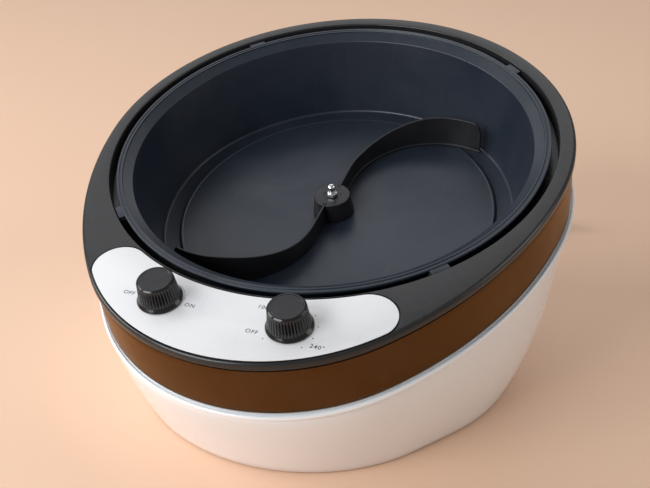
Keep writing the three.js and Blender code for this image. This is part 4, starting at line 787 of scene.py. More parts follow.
class RoasterStage(bpy.types.Operator):
    """Set up the photograph's camera, the pale floor and the soft lights"""

    bl_idname = "roaster.stage"
    bl_label = "Stage"

    def execute(self, context):
        stage = settings("stage")
        scene = context.scene
        scene.view_settings.view_transform = "Standard"
        lens = bpy.data.cameras.new("photo_camera")
        lens.sensor_fit = "HORIZONTAL"
        lens.sensor_width = SENSOR_WIDTH
        lens.lens = stage.lens
        lens.shift_x, lens.shift_y = CAMERA_SHIFT
        lens.clip_start = 0.01
        camera = placed("photo_camera", lens)
        look = CAMERA_LOOK.normalized()
        right = look.cross(CAMERA_UP).normalized()
        turn = Matrix((right, right.cross(look), -look)).transposed().to_4x4()
        camera.matrix_world = Matrix.Translation(CAMERA_PLACE) @ turn
        scene.camera = camera
        corners = [(x * FLOOR_REACH, y * FLOOR_REACH, 0) for x, y in ((-1, -1), (1, -1), (1, 1), (-1, 1))]
        sheet = clean_mesh("floor", corners, [(0, 1, 2, 3)])
        floor = placed("floor", sheet)
        sheet.materials.append(floor_finish())
        for name, (spot, width, height, power, colour) in LIGHTS.items():
            soft_light(name, spot, width, height, getattr(stage, power), colour)
        scene.world = room_world(stage.sky_level)
        return {"FINISHED"}


# Cord: out of the strain relief, down to the table, into the coil and on to the plug
CORD_EXIT = Vector((0, 0.198643, 0.024))
CORD_STRAIGHT = 0.013
CORD_BEND_REACH = 0.027
COIL_MIDDLE = Vector((0.048, 0.254479))
COIL_ENTRY = math.radians(150)
COIL_TURNS = 5 + 1 / 6
COIL_LOW = 0.004
COIL_HIGH = 0.011
COIL_STEPS = 36
RELIEF_AXIS = Matrix.Translation((0, 0, CORD_EXIT.z)) @ Matrix.Rotation(-math.pi / 2, 4, "X")
PLUG_Y = 0.298479
RELIEF_INSIDE = 0.15347
PLUG_BACK = 0.0825
PLUG_FACE = 0.1135
PLUG_TAIL = 0.014
PLUG_HALF = (0.0095, 0.011)
PLUG_CORNER = 0.004
BOOT_LENGTH = 0.024
BOOT_RINGS = 5
BOOT_RINGED = 0.0205
BOOT_TAPER = 0.0015
FLANGE_RADIUS = 0.008
FLANGE_THICKNESS = 0.002
NECK_RADIUS = 0.0056
TIE_STRAP = 0.0005
TIE_HALF_WIDTH = 0.0045
TIE_CORNER = 0.0022


def coil_point(turns, cord):
    angle = COIL_ENTRY - FULL_TURN * turns
    radius = cord.coil_radius - cord.coil_pitch * min(turns, COIL_TURNS - turns)
    share = min(max((turns - COIL_TURNS / 2) / 0.5 + 0.5, 0), 1)
    height = COIL_LOW + (COIL_HIGH - COIL_LOW) * eased(share)
    return Vector((COIL_MIDDLE.x + radius * math.cos(angle), COIL_MIDDLE.y + radius * math.sin(angle), height))


def cord_route(cord):
    heading = Vector((math.sin(COIL_ENTRY), -math.cos(COIL_ENTRY), 0))
    coil_start = coil_point(0, cord)
    bend_start = CORD_EXIT + Vector((0, CORD_STRAIGHT, 0))
    bend_end = coil_start - heading * (cord.diameter + FIT_GAP)
    route = [CORD_EXIT, CORD_EXIT.lerp(bend_start, 0.5)]
    handles = (bend_start, bend_start + Vector((0, CORD_BEND_REACH, 0)), bend_end - heading * CORD_BEND_REACH, bend_end)
    for i in range(21):
        t = i / 20
        weights = ((1 - t) ** 3, 3 * t * (1 - t) ** 2, 3 * t * t * (1 - t), t ** 3)
        route.append(sum((h * w for h, w in zip(handles, weights)), Vector()))
    route.append(bend_end.lerp(coil_start, 0.5))
    steps = round(COIL_TURNS * COIL_STEPS)
    route += [coil_point(COIL_TURNS * i / steps, cord) for i in range(steps + 1)]
    plug_start = Vector((PLUG_BACK - PLUG_TAIL, PLUG_Y, COIL_HIGH))
    route += [route[-1].lerp(plug_start, share) for share in (0.25, 0.5, 0.75, 1.0)]
    return route


def relief_mesh():
    """Flange inside, neck, flange outside and a boot with cut rings that tapers to the cord."""
    end = CORD_EXIT.y - FIT_GAP
    boot = end - BOOT_LENGTH
    inner, outer = RELIEF_INSIDE + FLANGE_THICKNESS, boot - FLANGE_THICKNESS
    profile = [(0, RELIEF_INSIDE, 0), (FLANGE_RADIUS, RELIEF_INSIDE, 0.0004), (FLANGE_RADIUS, inner, 0.0004),
               (NECK_RADIUS, inner, 0), (NECK_RADIUS, outer, 0), (FLANGE_RADIUS, outer, 0.0005),
               (FLANGE_RADIUS, boot, 0.0005), (NECK_RADIUS, boot, 0)]
    for i in range(BOOT_RINGS):
        start = boot + 0.0018 + BOOT_RINGED * i / BOOT_RINGS
        reach = NECK_RADIUS - BOOT_TAPER * (start - boot) / BOOT_LENGTH
        profile += [(reach, start, 0.0002), (reach - 0.0007, start + 0.0002, 0.0002),
                    (reach - 0.0007, start + 0.0014, 0.0002), (reach - 0.0001, start + 0.0016, 0.0002)]
    profile += [(0.0041, end, 0.0006), (0, end, 0)]
    return turned("relief", rounded_line(profile, closed=False, steps=2), RELIEF_AXIS, 48)


def plug_mesh():
    """Moulded plug grip with a waist and cut ridges, and a tapered tail on the cord."""
    width, height = PLUG_HALF
    length = PLUG_FACE - PLUG_BACK
    stations = [(0.0, 0.80), (0.0006, 0.90), (0.0018, 0.975), (0.0034, 1.0)]
    for i in range(5):
        start = 0.006 + 0.0032 * i
        stations += [(start, 0.985), (start + 0.0003, 0.935), (start + 0.0012, 0.935), (start + 0.0015, 0.985)]
    stations += [(length - 0.006, 0.99), (length - 0.003, 1.0), (length - 0.0006, 1.0), (length - 0.0002, 0.985),
                 (length, 0.955)]
    rings = []
    for along, size in stations:
        h, w = height * size, width * size
        loop = rounded_line([(w, h, PLUG_CORNER), (-w, h, PLUG_CORNER), (-w, -h, PLUG_CORNER), (w, -h, PLUG_CORNER)], steps=6)
        rings.append([Vector((PLUG_BACK + along, PLUG_Y + y, COIL_HIGH + z)) for y, z in loop])
    grip = ring_body("grip", rings, closed=False)
    tail = [(0, 0, 0), (0.0042, 0, 0.0005)]
    for i in range(4):
        start = 0.002 + 0.0028 * i
        reach = 0.0042 + 0.0014 * start / PLUG_TAIL
        tail += [(reach, start, 0.0002), (reach - 0.0006, start + 0.0002, 0.0002),
                 (reach - 0.0006, start + 0.0012, 0.0002), (reach, start + 0.0014, 0.0002)]
    tail += [(NECK_RADIUS, PLUG_TAIL, 0), (NECK_RADIUS, PLUG_TAIL + 0.002, 0), (0, PLUG_TAIL + 0.002, 0)]
    place = Matrix.Translation((PLUG_BACK - PLUG_TAIL, PLUG_Y, COIL_HIGH)) @ Matrix.Rotation(math.pi / 2, 4, "Y")
    return joined("plug", grip, turned("tail", rounded_line(tail, closed=False, steps=2), place, 40))


def tie_mesh(cord):
    """Flat strap round the bundle of turns, with fine teeth and a buckle."""
    tie_turns = COIL_ENTRY / (FULL_TURN)
    inner = COIL_MIDDLE.x + cord.coil_radius - cord.coil_pitch * (2 + tie_turns) - cord.diameter / 2 - 0.0012
    outer = COIL_MIDDLE.x + cord.coil_radius - cord.coil_pitch * tie_turns + cord.diameter / 2 + 0.0006
    low, high = 0.0005, COIL_HIGH + cord.diameter / 2 + FIT_GAP
    rings = []
    for side, grow in ((-1, 0), (1, 0), (1, TIE_STRAP), (-1, TIE_STRAP)):
        left, right, foot, top, corner = inner - grow, outer + grow, low - grow, high + grow, TIE_CORNER + grow
        loop = rounded_line([(left, foot, corner), (right, foot, corner), (right, top, corner), (left, top, corner)], steps=6)
        rings.append([Vector((x, COIL_MIDDLE.y + side * TIE_HALF_WIDTH, z)) for x, z in loop])
    strap = ring_body("strap", rings)
    place = Matrix.Translation(((inner + outer) / 2, COIL_MIDDLE.y, high + 0.0012))
    buckle = block("buckle", (0.007, 0.0104, 0.0022), 0.0006, place)
    teeth = []
    for i in range(9):
        spot = Matrix.Translation((inner + 0.0024 + 0.0018 * i, COIL_MIDDLE.y, high + 0.0006))
        teeth.append(block("tooth", (0.0007, 0.006, 0.0005), 0.0001, spot))
    return joined("tie", strap, buckle, *teeth)


class RoasterCord(bpy.types.Operator):
    """Lay the power cord, its strain relief, its coil with the tie, and the plug"""

    bl_idname = "roaster.cord"
    bl_label = "Power cord"

    def execute(self, context):
        cord = settings("cord")
        sheath = finished("Cord sheath")
        moulding = finished("Plug moulding")
        route = cord_route(cord)
        curve = bpy.data.curves.new("lead", "CURVE")
        curve.dimensions = "3D"
        curve.bevel_depth = cord.diameter / 2
        curve.bevel_resolution = 5
        curve.use_fill_caps = True
        spline = curve.splines.new("POLY")
        spline.points.add(len(route) - 1)
        for point, spot in zip(spline.points, route):
            point.co = (*spot, 1)
        spline.use_smooth = True
        curve.materials.append(sheath)
        lead = placed("lead", curve)
        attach(lead, "housing")
        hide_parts("power_cord", "cord_coil", "cord_tail")
        relief = make_piece("relief_boot", relief_mesh(), "housing", moulding, ["strain_relief"])
        plug = make_piece("plug_grip", plug_mesh(), "housing", moulding, ["plug_body"])
        tie = make_piece("coil_tie", tie_mesh(cord), "housing", moulding, ["cord_tie"])
        return {"FINISHED"}


# Deck with its opening, ledge and recess
def panel_outline(grow):
    """Crescent between the inner arc and the deck's edge, with round ends, as (x, y) in the deck's frame."""
    panel = settings("panel")
    outer = deck_egg().inset(panel.edge_inset - grow)
    end = panel.end_radius + grow
    most = math.asin(end / panel.end_reach)
    past = [most * math.sin(math.pi / 2 * i / 16) for i in range(1, 17)]
    core = [panel.half_angle * i / 50 for i in range(-50, 51)]
    angles = [-(panel.half_angle + p) for p in reversed(past)] + core + [panel.half_angle + p for p in past]
    far, near = [], []
    for angle in angles:
        low, high = panel.inner_radius - grow, outer.reach(angle)
        over = abs(angle) - panel.half_angle
        if over > 0:
            chord = math.sqrt(max(end ** 2 - (panel.end_reach * math.sin(over)) ** 2, 0))
            low = max(low, panel.end_reach * math.cos(over) - chord)
            high = min(high, panel.end_reach * math.cos(over) + chord)
        far.append(polar(high, angle))
        near.append(polar(low, angle))
    # The round ends meet in one point each, which the far side already has
    return far + near[-2:0:-1]


def knob_places():
    knob = settings("knob")
    return [polar(knob.reach, side * knob.half_angle) for side in (-1, 1)]


def bushing_cutters():
    low, high = -BUSHING_REACH, BUSHING_REACH
    profile = [(0, low), (BUSHING_RADIUS, low), (BUSHING_RADIUS, high), (0, high)]
    return [turned("bushing_hole", profile, on_deck(x, y), 40) for x, y in knob_places()]


def deck_mesh():
    body, panel = settings("body"), settings("panel")
    egg = deck_egg()
    bottom = DECK_TOP - DECK_EDGE
    tongue = body.edge_round / 2 + BAND_WALL + FIT_GAP + lean_over(TONGUE_DEPTH)
    edges = [egg, egg.inset(SHADOW_DEPTH), egg.inset(tongue), egg.inset(tongue + TONGUE_WALL)]
    core = OPENING_RADIUS + OPENING_WALL
    shadow, plate, ledge_low = bottom + SHADOW_GAP, DECK_TOP - DECK_PLATE, LEDGE_TOP - LEDGE_THICKNESS
    sections = []
    for i in range(DECK_STEPS):
        angle = FULL_TURN * i / DECK_STEPS - math.pi
        outside, under, tongue_out, tongue_in = [outline.reach(angle) for outline in edges]
        line = rounded_line([
            (under, bottom, 0), (under, shadow, 0.0003), (outside, shadow + 0.0006, 0.0006),
            (outside, DECK_TOP, body.edge_round), (OPENING_RADIUS, DECK_TOP, 0.0011), (OPENING_RADIUS, LEDGE_TOP, 0.0003),
            (LEDGE_BORE, LEDGE_TOP, 0.0004), (LEDGE_BORE, ledge_low, 0.0004), (core, ledge_low, 0), (core, plate, 0),
            (tongue_in, plate, 0), (tongue_in, bottom - TONGUE_DEPTH, 0), (tongue_out, bottom - TONGUE_DEPTH, 0),
            (tongue_out, bottom, 0),
        ], steps=5)
        sections.append([DECK @ Vector((*polar(r, angle), up)) for r, up in line])
    deck = ring_body("deck", sections)
    floor = DECK_TOP + panel.proud - panel.thickness - FIT_GAP
    recess = prism("recess", panel_outline(PANEL_GAP), floor, DECK_TOP + 0.006, DECK)
    return carved(deck, [recess, *bushing_cutters()])


def rim_posts():
    """Posts on the deck's ledge that carry the pan's lugs."""
    top = -LUG_DROP - LUG_THICKNESS - FIT_GAP
    low = LEDGE_TOP - LEDGE_THICKNESS / 2
    posts = []
    for angle in LUG_ANGLES:
        place = on_deck(*polar(POST_REACH, angle), (top + low) / 2, angle)
        posts.append(block("rim_post", (*POST_SIZE, top - low), 0.0004, place))
    return posts


class RoasterDeck(bpy.types.Operator):
    """Build the satin charcoal deck round the pan"""

    bl_idname = "roaster.deck"
    bl_label = "Top deck"

    def execute(self, context):
        satin = finished("Deck satin")
        make_piece("deck_ring", joined("deck_ring", deck_mesh(), *rim_posts()), "housing", satin, ["top_deck"])
        return {"FINISHED"}


# Control panel with its dial marks
INK = 0.00005
WORD_SIZE = 0.0042
WORD_SPREAD = 0.00002
DOT_RADIUS = 0.00042
STIR_ARC_RADIUS = 0.0154
STIR_ARC_WIDTH = 0.00022
ARC_STEPS = 24
HEAT_DOTS = [(220.6, 0.0177), (307.5, 0.0172), (339, 0.0170), (10.5, 0.0168), (42.4, 0.0167), (75.9, 0.0167),
             (107.5, 0.0172), (136.6, 0.0186)]


def panel_mesh():
    panel = settings("panel")
    top = DECK_TOP + panel.proud
    low = top - panel.thickness
    line = [(-0.0012, low), (-0.0012, top - 0.0005), (0, top - 0.0004), (0, top - 0.00016), (-0.00005, top - 0.00005),
            (-0.00018, top)]
    rings = [[DECK @ Vector((x, y, height)) for x, y in panel_outline(grow)] for grow, height in line]
    return carved(ring_body("panel", rings, closed=False), bushing_cutters())


def word_mesh(word, x, y, size):
    """A printed word, upright towards the pan."""
    top = DECK_TOP + settings("panel").proud
    text = bpy.data.curves.new("word", "FONT")
    text.body = word
    text.size = size
    text.align_x = text.align_y = "CENTER"
    text.extrude = text.offset = WORD_SPREAD
    text.space_character = 1.15
    text.resolution_u = 3
    holder = placed("word", text)
    bpy.context.view_layer.update()
    mesh = bpy.data.meshes.new_from_object(holder.evaluated_get(bpy.context.evaluated_depsgraph_get()))
    bpy.data.objects.remove(holder, do_unlink=True)
    bpy.data.curves.remove(text)
    mesh.transform(on_deck(x, y, top + 0.00003))
    return mesh


def dot_mesh(x, y, radius):
    top = DECK_TOP + settings("panel").proud
    profile = [(0, top), (radius, top), (radius * 0.94, top + INK), (0, top + INK)]
    return turned("dot", profile, on_deck(x, y), 16)


def arc_mesh(x, y, radius, start, end, width):
    """A thin dark arc laid on the panel in the ink colour, from one dial angle to another round a knob."""
    top = DECK_TOP + settings("panel").proud
    rings = []
    for i in range(ARC_STEPS + 1):
        turn = start + (end - start) * i / ARC_STEPS
        rings.append([DECK @ Vector((x + r * math.sin(turn), y + r * math.cos(turn), up)) for r, up in (
            (radius, top), (radius + width, top), (radius + width, top + INK), (radius, top + INK))])
    return ring_body("arc", rings, closed=False)


def dial_marks():
    """Words, dots and the arc, each at an angle and a distance from its knob."""
    stir, heat = knob_places()
    marks = []

    def at(middle, degrees, distance):
        turn = math.radians(degrees)
        return middle[0] + distance * math.sin(turn), middle[1] + distance * math.cos(turn)

    for word, middle, degrees, distance in (
            ("OFF", stir, 268.8, 0.0218), ("ON", stir, 91.4, 0.0206), ("OFF", heat, 243.3, 0.0224),
            ("100", heat, 295.6, 0.0235), ("240\u00b0", heat, 117.6, 0.0239)):
        marks.append(word_mesh(word, *at(middle, degrees, distance), WORD_SIZE))
    for degrees, distance in HEAT_DOTS:
        marks.append(dot_mesh(*at(heat, degrees, distance), DOT_RADIUS))
    # A thin dark arc just outside the stir knob's skirt, on its right-rear side.
    marks.append(arc_mesh(*stir, STIR_ARC_RADIUS, math.radians(29), math.radians(80), STIR_ARC_WIDTH))
    return joined("marks", *marks)


class RoasterPanel(bpy.types.Operator):
    """Build the silver control panel and print its dial marks"""

    bl_idname = "roaster.panel"
    bl_label = "Control panel"

    def execute(self, context):
        silver = finished("Panel silver")
        ink = finished("Printed ink")
        make_piece("panel_crescent", panel_mesh(), "housing", silver, ["control_panel"])
        make_piece("dial_marks", dial_marks(), "housing", ink)
        return {"FINISHED"}


# Side band and lower shell
def band_mesh():
    """Straight skin between two leaning outlines, set back at its foot over the bead."""
    body = settings("body")
    top = DECK_TOP - DECK_EDGE - SEAM_GAP
    height = body.band_height
    upper, lower = deck_egg().inset(body.edge_round / 2), seam_egg()
    soft, foot = BAND_EDGE * 0.3, height - BAND_GAP
    line = [(BAND_EDGE, 0), (soft, soft), (0, BAND_EDGE), *((0, height * step / 8) for step in range(1, 8)),
            (0, foot - BAND_EDGE), (soft, foot - soft), (BAND_EDGE, foot), (BAND_FOOT_INSET, foot),
            (BAND_FOOT_INSET, height), (BAND_WALL, height), (BAND_WALL, 0)]
    rings = []
    for inset, down in line:
        first, last = leaning(upper.inset(inset), top), leaning(lower.inset(inset), top - height)
        rings.append([a.lerp(b, down / height) for a, b in zip(first, last)])
    return ring_body("band", rings)


def shell_ring(wall, share, wall_top):
    """Ring of the bowl: foot and shoulder are level, the top leans with the deck."""
    foot = level(Egg(*FOOT).inset(wall), FOOT_LIFT) if wall else level(Egg(*FOOT_EDGE), RIM_LIFT)
    middle = level(Egg(*SHOULDER).inset(wall), SHOULDER_HEIGHT)
    top = leaning(seam_egg().inset(wall), wall_top)
    ring = []
    for low, mid, high in zip(foot, middle, top):
        through = mid * 2 - low * 0.5 - high * 0.5
        ring.append(low * (1 - share) ** 2 + through * (2 * share * (1 - share)) + high * share ** 2)
    return ring


def shell_mesh():
    body = settings("body")
    bead_top = DECK_TOP - DECK_EDGE - SEAM_GAP - body.band_height - SEAM_GAP
    wall_top = bead_top - BEAD_HEIGHT
    seam, foot, edge = seam_egg(), Egg(*FOOT), Egg(*FOOT_EDGE)
    tongue_out = BAND_WALL + FIT_GAP + lean_over(SHELL_TONGUE)
    tongue_in = tongue_out + SHELL_WALL
    ledge_low = FOOT_LIFT + BASE_LIFT + BASE_SHEET + FIT_GAP
    rings = [level(edge.inset(0.0006), RIM_LIFT), level(edge.inset(0.0002), RIM_LIFT + 0.0002)]
    rings += [shell_ring(0, 0.006 + 0.994 * i / 24, wall_top) for i in range(25)]
    for i in range(1, 15):
        turn = math.pi * (i / 18 - 0.5)
        rings.append(leaning(seam.inset(-BEAD_REACH * math.cos(turn)), bead_top - BEAD_HEIGHT / 2 * (1 - math.sin(turn))))
    rings += [leaning(seam.inset(inset), bead_top - drop) for inset, drop in (
        (-0.0013, 0.0004), (-0.0010, 0.0007), (-0.0009, 0.0020), (0.0006, 0.0020), (0.0006, 0))]
    rings += [leaning(seam.inset(tongue_out), bead_top), leaning(seam.inset(tongue_out), bead_top + SHELL_TONGUE),
              leaning(seam.inset(tongue_in), bead_top + SHELL_TONGUE)]
    rings += [shell_ring(tongue_in, share, wall_top) for share in (1, 0.75, 0.5, 0.25)]
    rings += [level(foot.inset(tongue_in), ledge_low + SHELL_LEDGE), level(foot.inset(LEDGE_REACH), ledge_low + SHELL_LEDGE),
              level(foot.inset(LEDGE_REACH), ledge_low), level(foot.inset(SHELL_WALL), ledge_low),
              level(foot.inset(SHELL_WALL), RIM_LIFT)]
    back = CORD_EXIT.y - FIT_GAP - BOOT_LENGTH - FLANGE_THICKNESS - FIT_GAP
    inside = RELIEF_INSIDE + FLANGE_THICKNESS + FIT_GAP
    boss = turned("boss", rounded_line([(0, inside, 0), (0.0095, inside, 0), (0.0095, back, 0.0008), (0, back, 0)],
                                       closed=False, steps=3), RELIEF_AXIS, 48)
    hole = turned("hole", [(0, inside - 0.01), (0.0059, inside - 0.01), (0.0059, back + 0.01), (0, back + 0.01)],
                  RELIEF_AXIS, 48)
    return carved(carved(ring_body("shell", rings), [boss], "UNION"), [hole])


class RoasterShell(bpy.types.Operator):
    """Build the brown band and the white lower shell"""

    bl_idname = "roaster.shell"
    bl_label = "Band and lower shell"

    def execute(self, context):
        brown = finished("Band brown")
        white = finished("White gloss moulding")
        make_piece("brown_band", band_mesh(), "housing", brown, ["side_band"])
        make_piece("white_bowl", shell_mesh(), "housing", white, ["lower_shell"])
        return {"FINISHED"}


# Roasting pan
PAN_SHEET = 0.0018
PAN_BORE = 0.0065


def pan_mesh():
    pan = settings("pan")
    sheet = PAN_SHEET
    disc = -pan.depth + PAN_DISC_RISE
    step, edge = pan.step_radius, pan.disc_radius
    lip_slope = math.atan((pan.lip_radius - pan.floor_radius) / (pan.depth - 0.005))
    under = pan.lip_radius + sheet / math.cos(lip_slope)
    bore = PAN_BORE
    profile = rounded_line([
        (bore, disc, 0.0002), (edge - 0.0018, disc, 0.0003), (edge - 0.0010, disc + 0.0003, 0.0003),
        (edge - 0.0002, disc + 0.0003, 0.0004), (edge + 0.0014, -pan.depth, 0.0008), (pan.floor_radius, -pan.depth, 0.002),
        (pan.lip_radius, -0.005, 0.0009), (step, -0.001, 0.0003), (step, 0, 0.0003), (step + 0.0012, 0, 0.0003),
        (step + 0.0015, -0.0006, 0.0002), (step + 0.0023, -0.0006, 0.0002), (step + 0.0026, 0, 0.0003),
        (pan.rim_radius, 0, 0.0006), (pan.rim_radius, -sheet, 0.0004), (step, -sheet - 0.001, 0.0006),
        (under, -0.005 - sheet, 0.002), (pan.floor_radius + sheet, -pan.depth - sheet, 0.0058),
        (edge + 0.0014, -pan.depth - sheet, 0.0006), (edge, disc - sheet, 0.0006), (bore, disc - sheet, 0.0002),
    ], steps=5)
    bowl = turned("bowl", profile, DECK, 240, closed=True)
    lugs = []
    far, near = OPENING_RADIUS - 2 * FIT_GAP, (pan.step_radius + pan.rim_radius) / 2
    for angle in LUG_ANGLES:
        place = on_deck(*polar((far + near) / 2, angle), -LUG_DROP - LUG_THICKNESS / 2, angle)
        lugs.append(block("lug", (LUG_WIDTH, far - near, LUG_THICKNESS), 0.0004, place))
    return joined("pan", bowl, *lugs)


class RoasterPan(bpy.types.Operator):
    """Build the dark coated roasting pan"""

    bl_idname = "roaster.pan"
    bl_label = "Roasting pan"

    def execute(self, context):
        coat = finished("Pan coat")
        make_piece("pan_bowl", pan_mesh(), "housing", coat, ["roasting_pan"])
        return {"FINISHED"}


# Stirring blade
HUB_HEIGHT = 0.014
STUD_HOLE = 0.0023
SHAFT_BORE = 0.0043
ARM_OFFSET = 0.0016
ARM_TIP_ROUND = 0.006
ARM_LIP = 0.0008
RISE_START = 0.11
RISE_LENGTH = 0.64
NUT_APOTHEM = 0.0038
NUT_HEIGHT = 0.0024
BALL_RADIUS = 0.0032
BALL_LIFT = 0.0060


def hub_low():
    return -settings("pan").depth + PAN_DISC_RISE + RUN_GAP


def hub_mesh():
    blade = settings("blade")
    low, top = hub_low(), hub_low() + HUB_HEIGHT
    inner = top - HUB_HEIGHT / 3 + FIT_GAP
    profile = rounded_line([
        (SHAFT_BORE, low, 0.0002), (blade.hub_radius, low, 0.0005), (blade.hub_radius - 0.0021, top, 0.0007),
        (0.0062, top, 0.0003), (0.0058, top - 0.0003, 0.0002), (STUD_HOLE, top - 0.0003, 0), (STUD_HOLE, inner, 0),
        (SHAFT_BORE, inner, 0),
    ], steps=4)
    hub = turned("hub", profile, DECK, 96, closed=True)
    slots = []
    for turn in (0, math.pi):
        middle = Matrix.Translation((ARM_OFFSET, blade.hub_radius - FIT_GAP, low + HUB_HEIGHT / 2))
        place = on_deck(0, 0, turn=turn) @ middle
        slots.append(block("slot", (blade.sheet + 2 * FIT_GAP, 0.010, HUB_HEIGHT + 0.01), 0.0001, place))
    return carved(hub, slots)


def arm_mesh(turn):
    """One arm: straight out of the hub, then bent on one radius, its top edge rising along the bend to a rounded tip.

    A small lip runs along the foot of its inner side.
    """
    blade = settings("blade")
    low, hub_top = hub_low(), hub_low() + HUB_HEIGHT
    high = low + blade.height
    start, tip_round = blade.hub_radius - 0.005, ARM_TIP_ROUND
    line = [(Vector((ARM_OFFSET, start + (blade.straight - start) * i / 10)), Vector((1, 0))) for i in range(10)]
    centre = Vector((ARM_OFFSET + blade.curve_radius, blade.straight))
    length = blade.curve_radius * blade.sweep
    along = [length * i / 56 for i in range(56) if length * i / 56 < length - tip_round]
    along += [length - tip_round * math.cos(math.pi / 2 * i / 12) for i in range(13)]
    for distance in along:
        angle = math.pi - distance / blade.curve_radius
        out = Vector((math.cos(angle), math.sin(angle)))
        line.append((centre + out * blade.curve_radius, -out))
    rings = []
    place = on_deck(0, 0, turn=turn)
    for i, (spot, side) in enumerate(line):
        gone = along[i - 10] if i >= 10 else 0
        share = min(max((gone / length - RISE_START) / RISE_LENGTH, 0), 1)
        top = hub_top + (high - hub_top) * eased(share)
        left = length - gone
        if left < tip_round:
            top -= tip_round - math.sqrt(max(tip_round ** 2 - (tip_round - left) ** 2, 0))
        half = blade.sheet / 2 - (0.0003 if i == len(line) - 1 else 0)
        loop = rounded_line([(-half, low, 0.0003), (half + ARM_LIP, low, 0.0002), (half + ARM_LIP, low + 0.0009, 0.0003),
                             (half, low + 0.0013, 0.0002), (half, top, 0.0005), (-half, top, 0.0005)], steps=3)
        rings.append([place @ Vector((spot.x + side.x * a, spot.y + side.y * a, z)) for a, z in loop])
    return ring_body("arm", rings, closed=False)


def nut_mesh():
    low = hub_low() + HUB_HEIGHT + FIT_GAP
    top = low + NUT_HEIGHT
    corner = NUT_APOTHEM / math.cos(math.pi / 6)
    hexagon = turned("hexagon", [
        (STUD_HOLE, low), (corner - 0.0003, low), (corner, low + 0.0003), (corner, top - 0.0005), (corner - 0.0007, top),
        (0.0016, top), (0.0016, top - 0.0004), (STUD_HOLE, top - 0.0004)], DECK, 6, closed=True)
    profile = [(0, top - 0.0003), (BALL_RADIUS, top - 0.0003), (BALL_RADIUS, top + 0.0005), (0.0029, top + 0.0008),
               (0.0025, top + 0.0010)]
    ball = low + BALL_LIFT
    for i in range(16):
        turn = math.pi * (-0.21 + 0.71 * i / 16)
        profile.append((BALL_RADIUS * math.cos(turn), ball + BALL_RADIUS * math.sin(turn)))
    profile.append((0, ball + BALL_RADIUS))
    return joined("nut", hexagon, turned("ball", profile, DECK, 48))


class RoasterBlade(bpy.types.Operator):
    """Build the stirring hub, its two bent arms and the domed nut"""

    bl_idname = "roaster.blade"
    bl_label = "Stirring blade"

    def execute(self, context):
        black = finished("Blade black")
        chrome = finished("Chrome plate")
        make_piece("blade_hub", hub_mesh(), "stirrer", black, ["stir_hub"])
        make_piece("rear_arm", arm_mesh(0), "stirrer", black, ["blade_arm_rear"])
        make_piece("front_arm", arm_mesh(math.pi), "stirrer", black, ["blade_arm_front"])
        make_piece("domed_nut", nut_mesh(), "nut", chrome, ["hub_nut"], sharp=28)
        return {"FINISHED"}


# Knobs
RIB_STEPS = 8
KNOB_SKIRT = 0.0022
KNOB_GRIP = 0.013
KNOB_NECK = 0.0118
KNOB_HOLLOW = 0.0112
KNOB_SOCKET = 0.0033
KNOB_CAVITY = 0.0054


def knob_mesh(x, y):
    knob = settings("knob")
    low = DECK_TOP + settings("panel").proud + RUN_GAP
    top = low + knob.height
    skirt, grip, neck = low + KNOB_SKIRT, KNOB_GRIP, KNOB_NECK
    rows = rounded_line([
        (KNOB_HOLLOW, low, 0), (knob.base_radius, low, 0.0003), (knob.base_radius, low + 0.0008, 0.0004),
        (grip + 0.0003, skirt, 0.0004), (grip, skirt + 0.0004, 0)], closed=False, steps=3)
    for i in range(9):
        share = i / 8
        depth = knob.rib_depth * min(1, 4 * share + 0.35, 6 * (1 - share) + 0.1)
        rows.append((grip + (neck - grip) * share, skirt + 0.0007 + (top - skirt - 0.0020) * share, depth))
    rows += rounded_line([
        (neck - 0.0001, top - 0.0013, 0), (neck - 0.0002, top - 0.0009, 0.0004), (neck - 0.0012, top, 0.0009),
        (0.0098, top, 0.0003), (0.0095, top - 0.00015, 0.0003), (0.004, top - 0.0002, 0), (0, top - 0.0002, 0),
    ], closed=False, steps=5)
    place = on_deck(x, y)
    wall = turned("wall", rows, place, knob.ribs * RIB_STEPS, ribs=knob.ribs)
    roof = low + KNOB_CAVITY
    hollow = turned("hollow", rounded_line([
        (KNOB_HOLLOW, low, 0), (KNOB_HOLLOW, roof, 0.0006), (KNOB_SOCKET, roof, 0), (KNOB_SOCKET, top - 0.0018, 0),
        (0, top - 0.0018, 0)], closed=False, steps=3), place, 48)
    return joined("knob", wall, hollow)


class RoasterKnobs(bpy.types.Operator):
    """Build the ribbed stir knob and temperature knob"""

    bl_idname = "roaster.knobs"
    bl_label = "Knobs"

    def execute(self, context):
        black = finished("Knob black")
        for name, node, body, (x, y) in zip(("stir_grip", "temperature_grip"), ("stir_knob", "temperature_knob"),
                                            ("stir_control", "temperature_control"), knob_places()):
            make_piece(name, knob_mesh(x, y), body, black, [node])
        return {"FINISHED"}


# Feet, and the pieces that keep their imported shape, with the width of their rounded edges
def foot_mesh(node):
    low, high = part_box(node)
    x, y = (low[0] + high[0]) / 2, (low[1] + high[1]) / 2
    radius = (high[0] - low[0]) / 2
    profile = rounded_line([
        (0, 0.0003, 0), (radius - 0.0032, 0.0003, 0), (radius - 0.0027, 0, 0.0002), (radius - 0.0008, 0, 0.0006),
        (radius, high[2] * 0.5, 0.0006), (radius, high[2], 0.0003), (0, high[2], 0)], closed=False, steps=3)
    return turned("foot", profile, Matrix.Translation((x, y, 0)), 48)


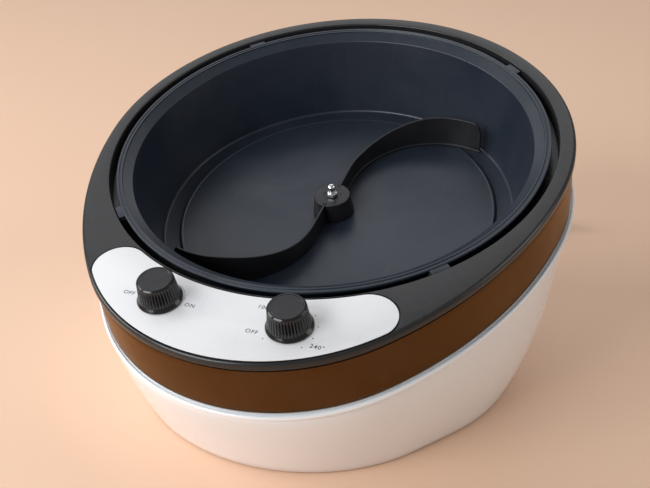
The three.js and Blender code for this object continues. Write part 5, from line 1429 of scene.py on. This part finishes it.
KEPT = {
    "Grey moulding": (0.0004, ["base_plate", "stir_switch", "thermostat", "gearbox"]),
    "Screw zinc": (0.0002, [
        "base_screw_front_right", "base_screw_rear_right", "base_screw_rear_left", "base_screw_front_left",
        "shield_screw_front_right", "shield_screw_front_left", "shield_screw_rear_right", "shield_screw_rear_left",
        "bracket_screw_1", "bracket_screw_2", "stir_panel_nut", "temperature_panel_nut"]),
    "Heated steel": (0.0002, [
        "heat_shield", "heating_element", "element_clip_1", "element_clip_2", "element_clip_3"]),
    "Bare steel": (0.0003, ["motor_bracket", "gear_motor", "drive_shaft", "stir_shaft", "temperature_shaft"]),
    "Chrome plate": (0.0003, ["plug_pin_a", "plug_pin_b"]),
    "Turned brass": (0.0002, ["shaft_bush", "thermostat_bulb"]),
    "Foot rubber": (0.0002, ["shaft_seal"]),
    "Terminal white": (0.0004, ["terminal_block"]),
    "Blade black": (0.0003, ["thermal_cutout"]),
}


class RoasterUnderside(bpy.types.Operator):
    """Build the rubber feet and finish the base, the drive and the heating parts"""

    bl_idname = "roaster.underside"
    bl_label = "Base, drive and heating parts"

    def execute(self, context):
        rubber = finished("Foot rubber")
        for corner in ("front_right", "rear_right", "rear_left", "front_left"):
            make_piece(f"pad_{corner}", foot_mesh(f"foot_{corner}"), "housing", rubber, [f"foot_{corner}"])
        for name, (edge, nodes) in KEPT.items():
            material = finished(name)
            for node in nodes:
                part = bpy.data.objects[node]
                for slot in part.material_slots:
                    slot.material = material
                bevel = part.modifiers.new("Edge", "BEVEL")
                bevel.width = edge
                bevel.segments = 2
                bevel.limit_method = "ANGLE"
                bevel.angle_limit = math.radians(40)
        return {"FINISHED"}


class RoasterPanelUI(bpy.types.Panel):
    """The roaster's build steps and sizes"""

    bl_idname = "VIEW3D_PT_roaster"
    bl_label = "Roaster"
    bl_space_type = "VIEW_3D"
    bl_region_type = "UI"
    bl_category = "Roaster"

    def draw(self, context):
        for operator, group in STEPS:
            box = self.layout.box()
            box.operator(operator)
            values = getattr(context.scene, "roaster_" + group)
            for key in values.__annotations__:
                box.prop(values, key)


STEPS = [
    ("roaster.stage", "stage"), ("roaster.cord", "cord"), ("roaster.deck", "body"), ("roaster.panel", "panel"),
    ("roaster.shell", "body"), ("roaster.pan", "pan"), ("roaster.blade", "blade"), ("roaster.knobs", "knob"),
    ("roaster.underside", "body"),
]
GROUPS = {
    "body": BodySettings, "panel": PanelSettings, "pan": PanSettings, "blade": BladeSettings, "knob": KnobSettings,
    "cord": CordSettings, "stage": StageSettings,
}
OPERATORS = [
    RoasterStage, RoasterCord, RoasterDeck, RoasterPanel, RoasterShell, RoasterPan, RoasterBlade, RoasterKnobs,
    RoasterUnderside,
]


def register():
    for group in [*GROUPS.values(), *OPERATORS, RoasterPanelUI]:
        bpy.utils.register_class(group)
    for name, group in GROUPS.items():
        setattr(bpy.types.Scene, "roaster_" + name, PointerProperty(type=group))


def unregister():
    for name in GROUPS:
        delattr(bpy.types.Scene, "roaster_" + name)
    for group in reversed([*GROUPS.values(), *OPERATORS, RoasterPanelUI]):
        bpy.utils.unregister_class(group)


def main():
    register()
    for operator, _ in STEPS:
        area, name = operator.split(".")
        getattr(getattr(bpy.ops, area), name)()


if __name__ == "__main__":
    main()
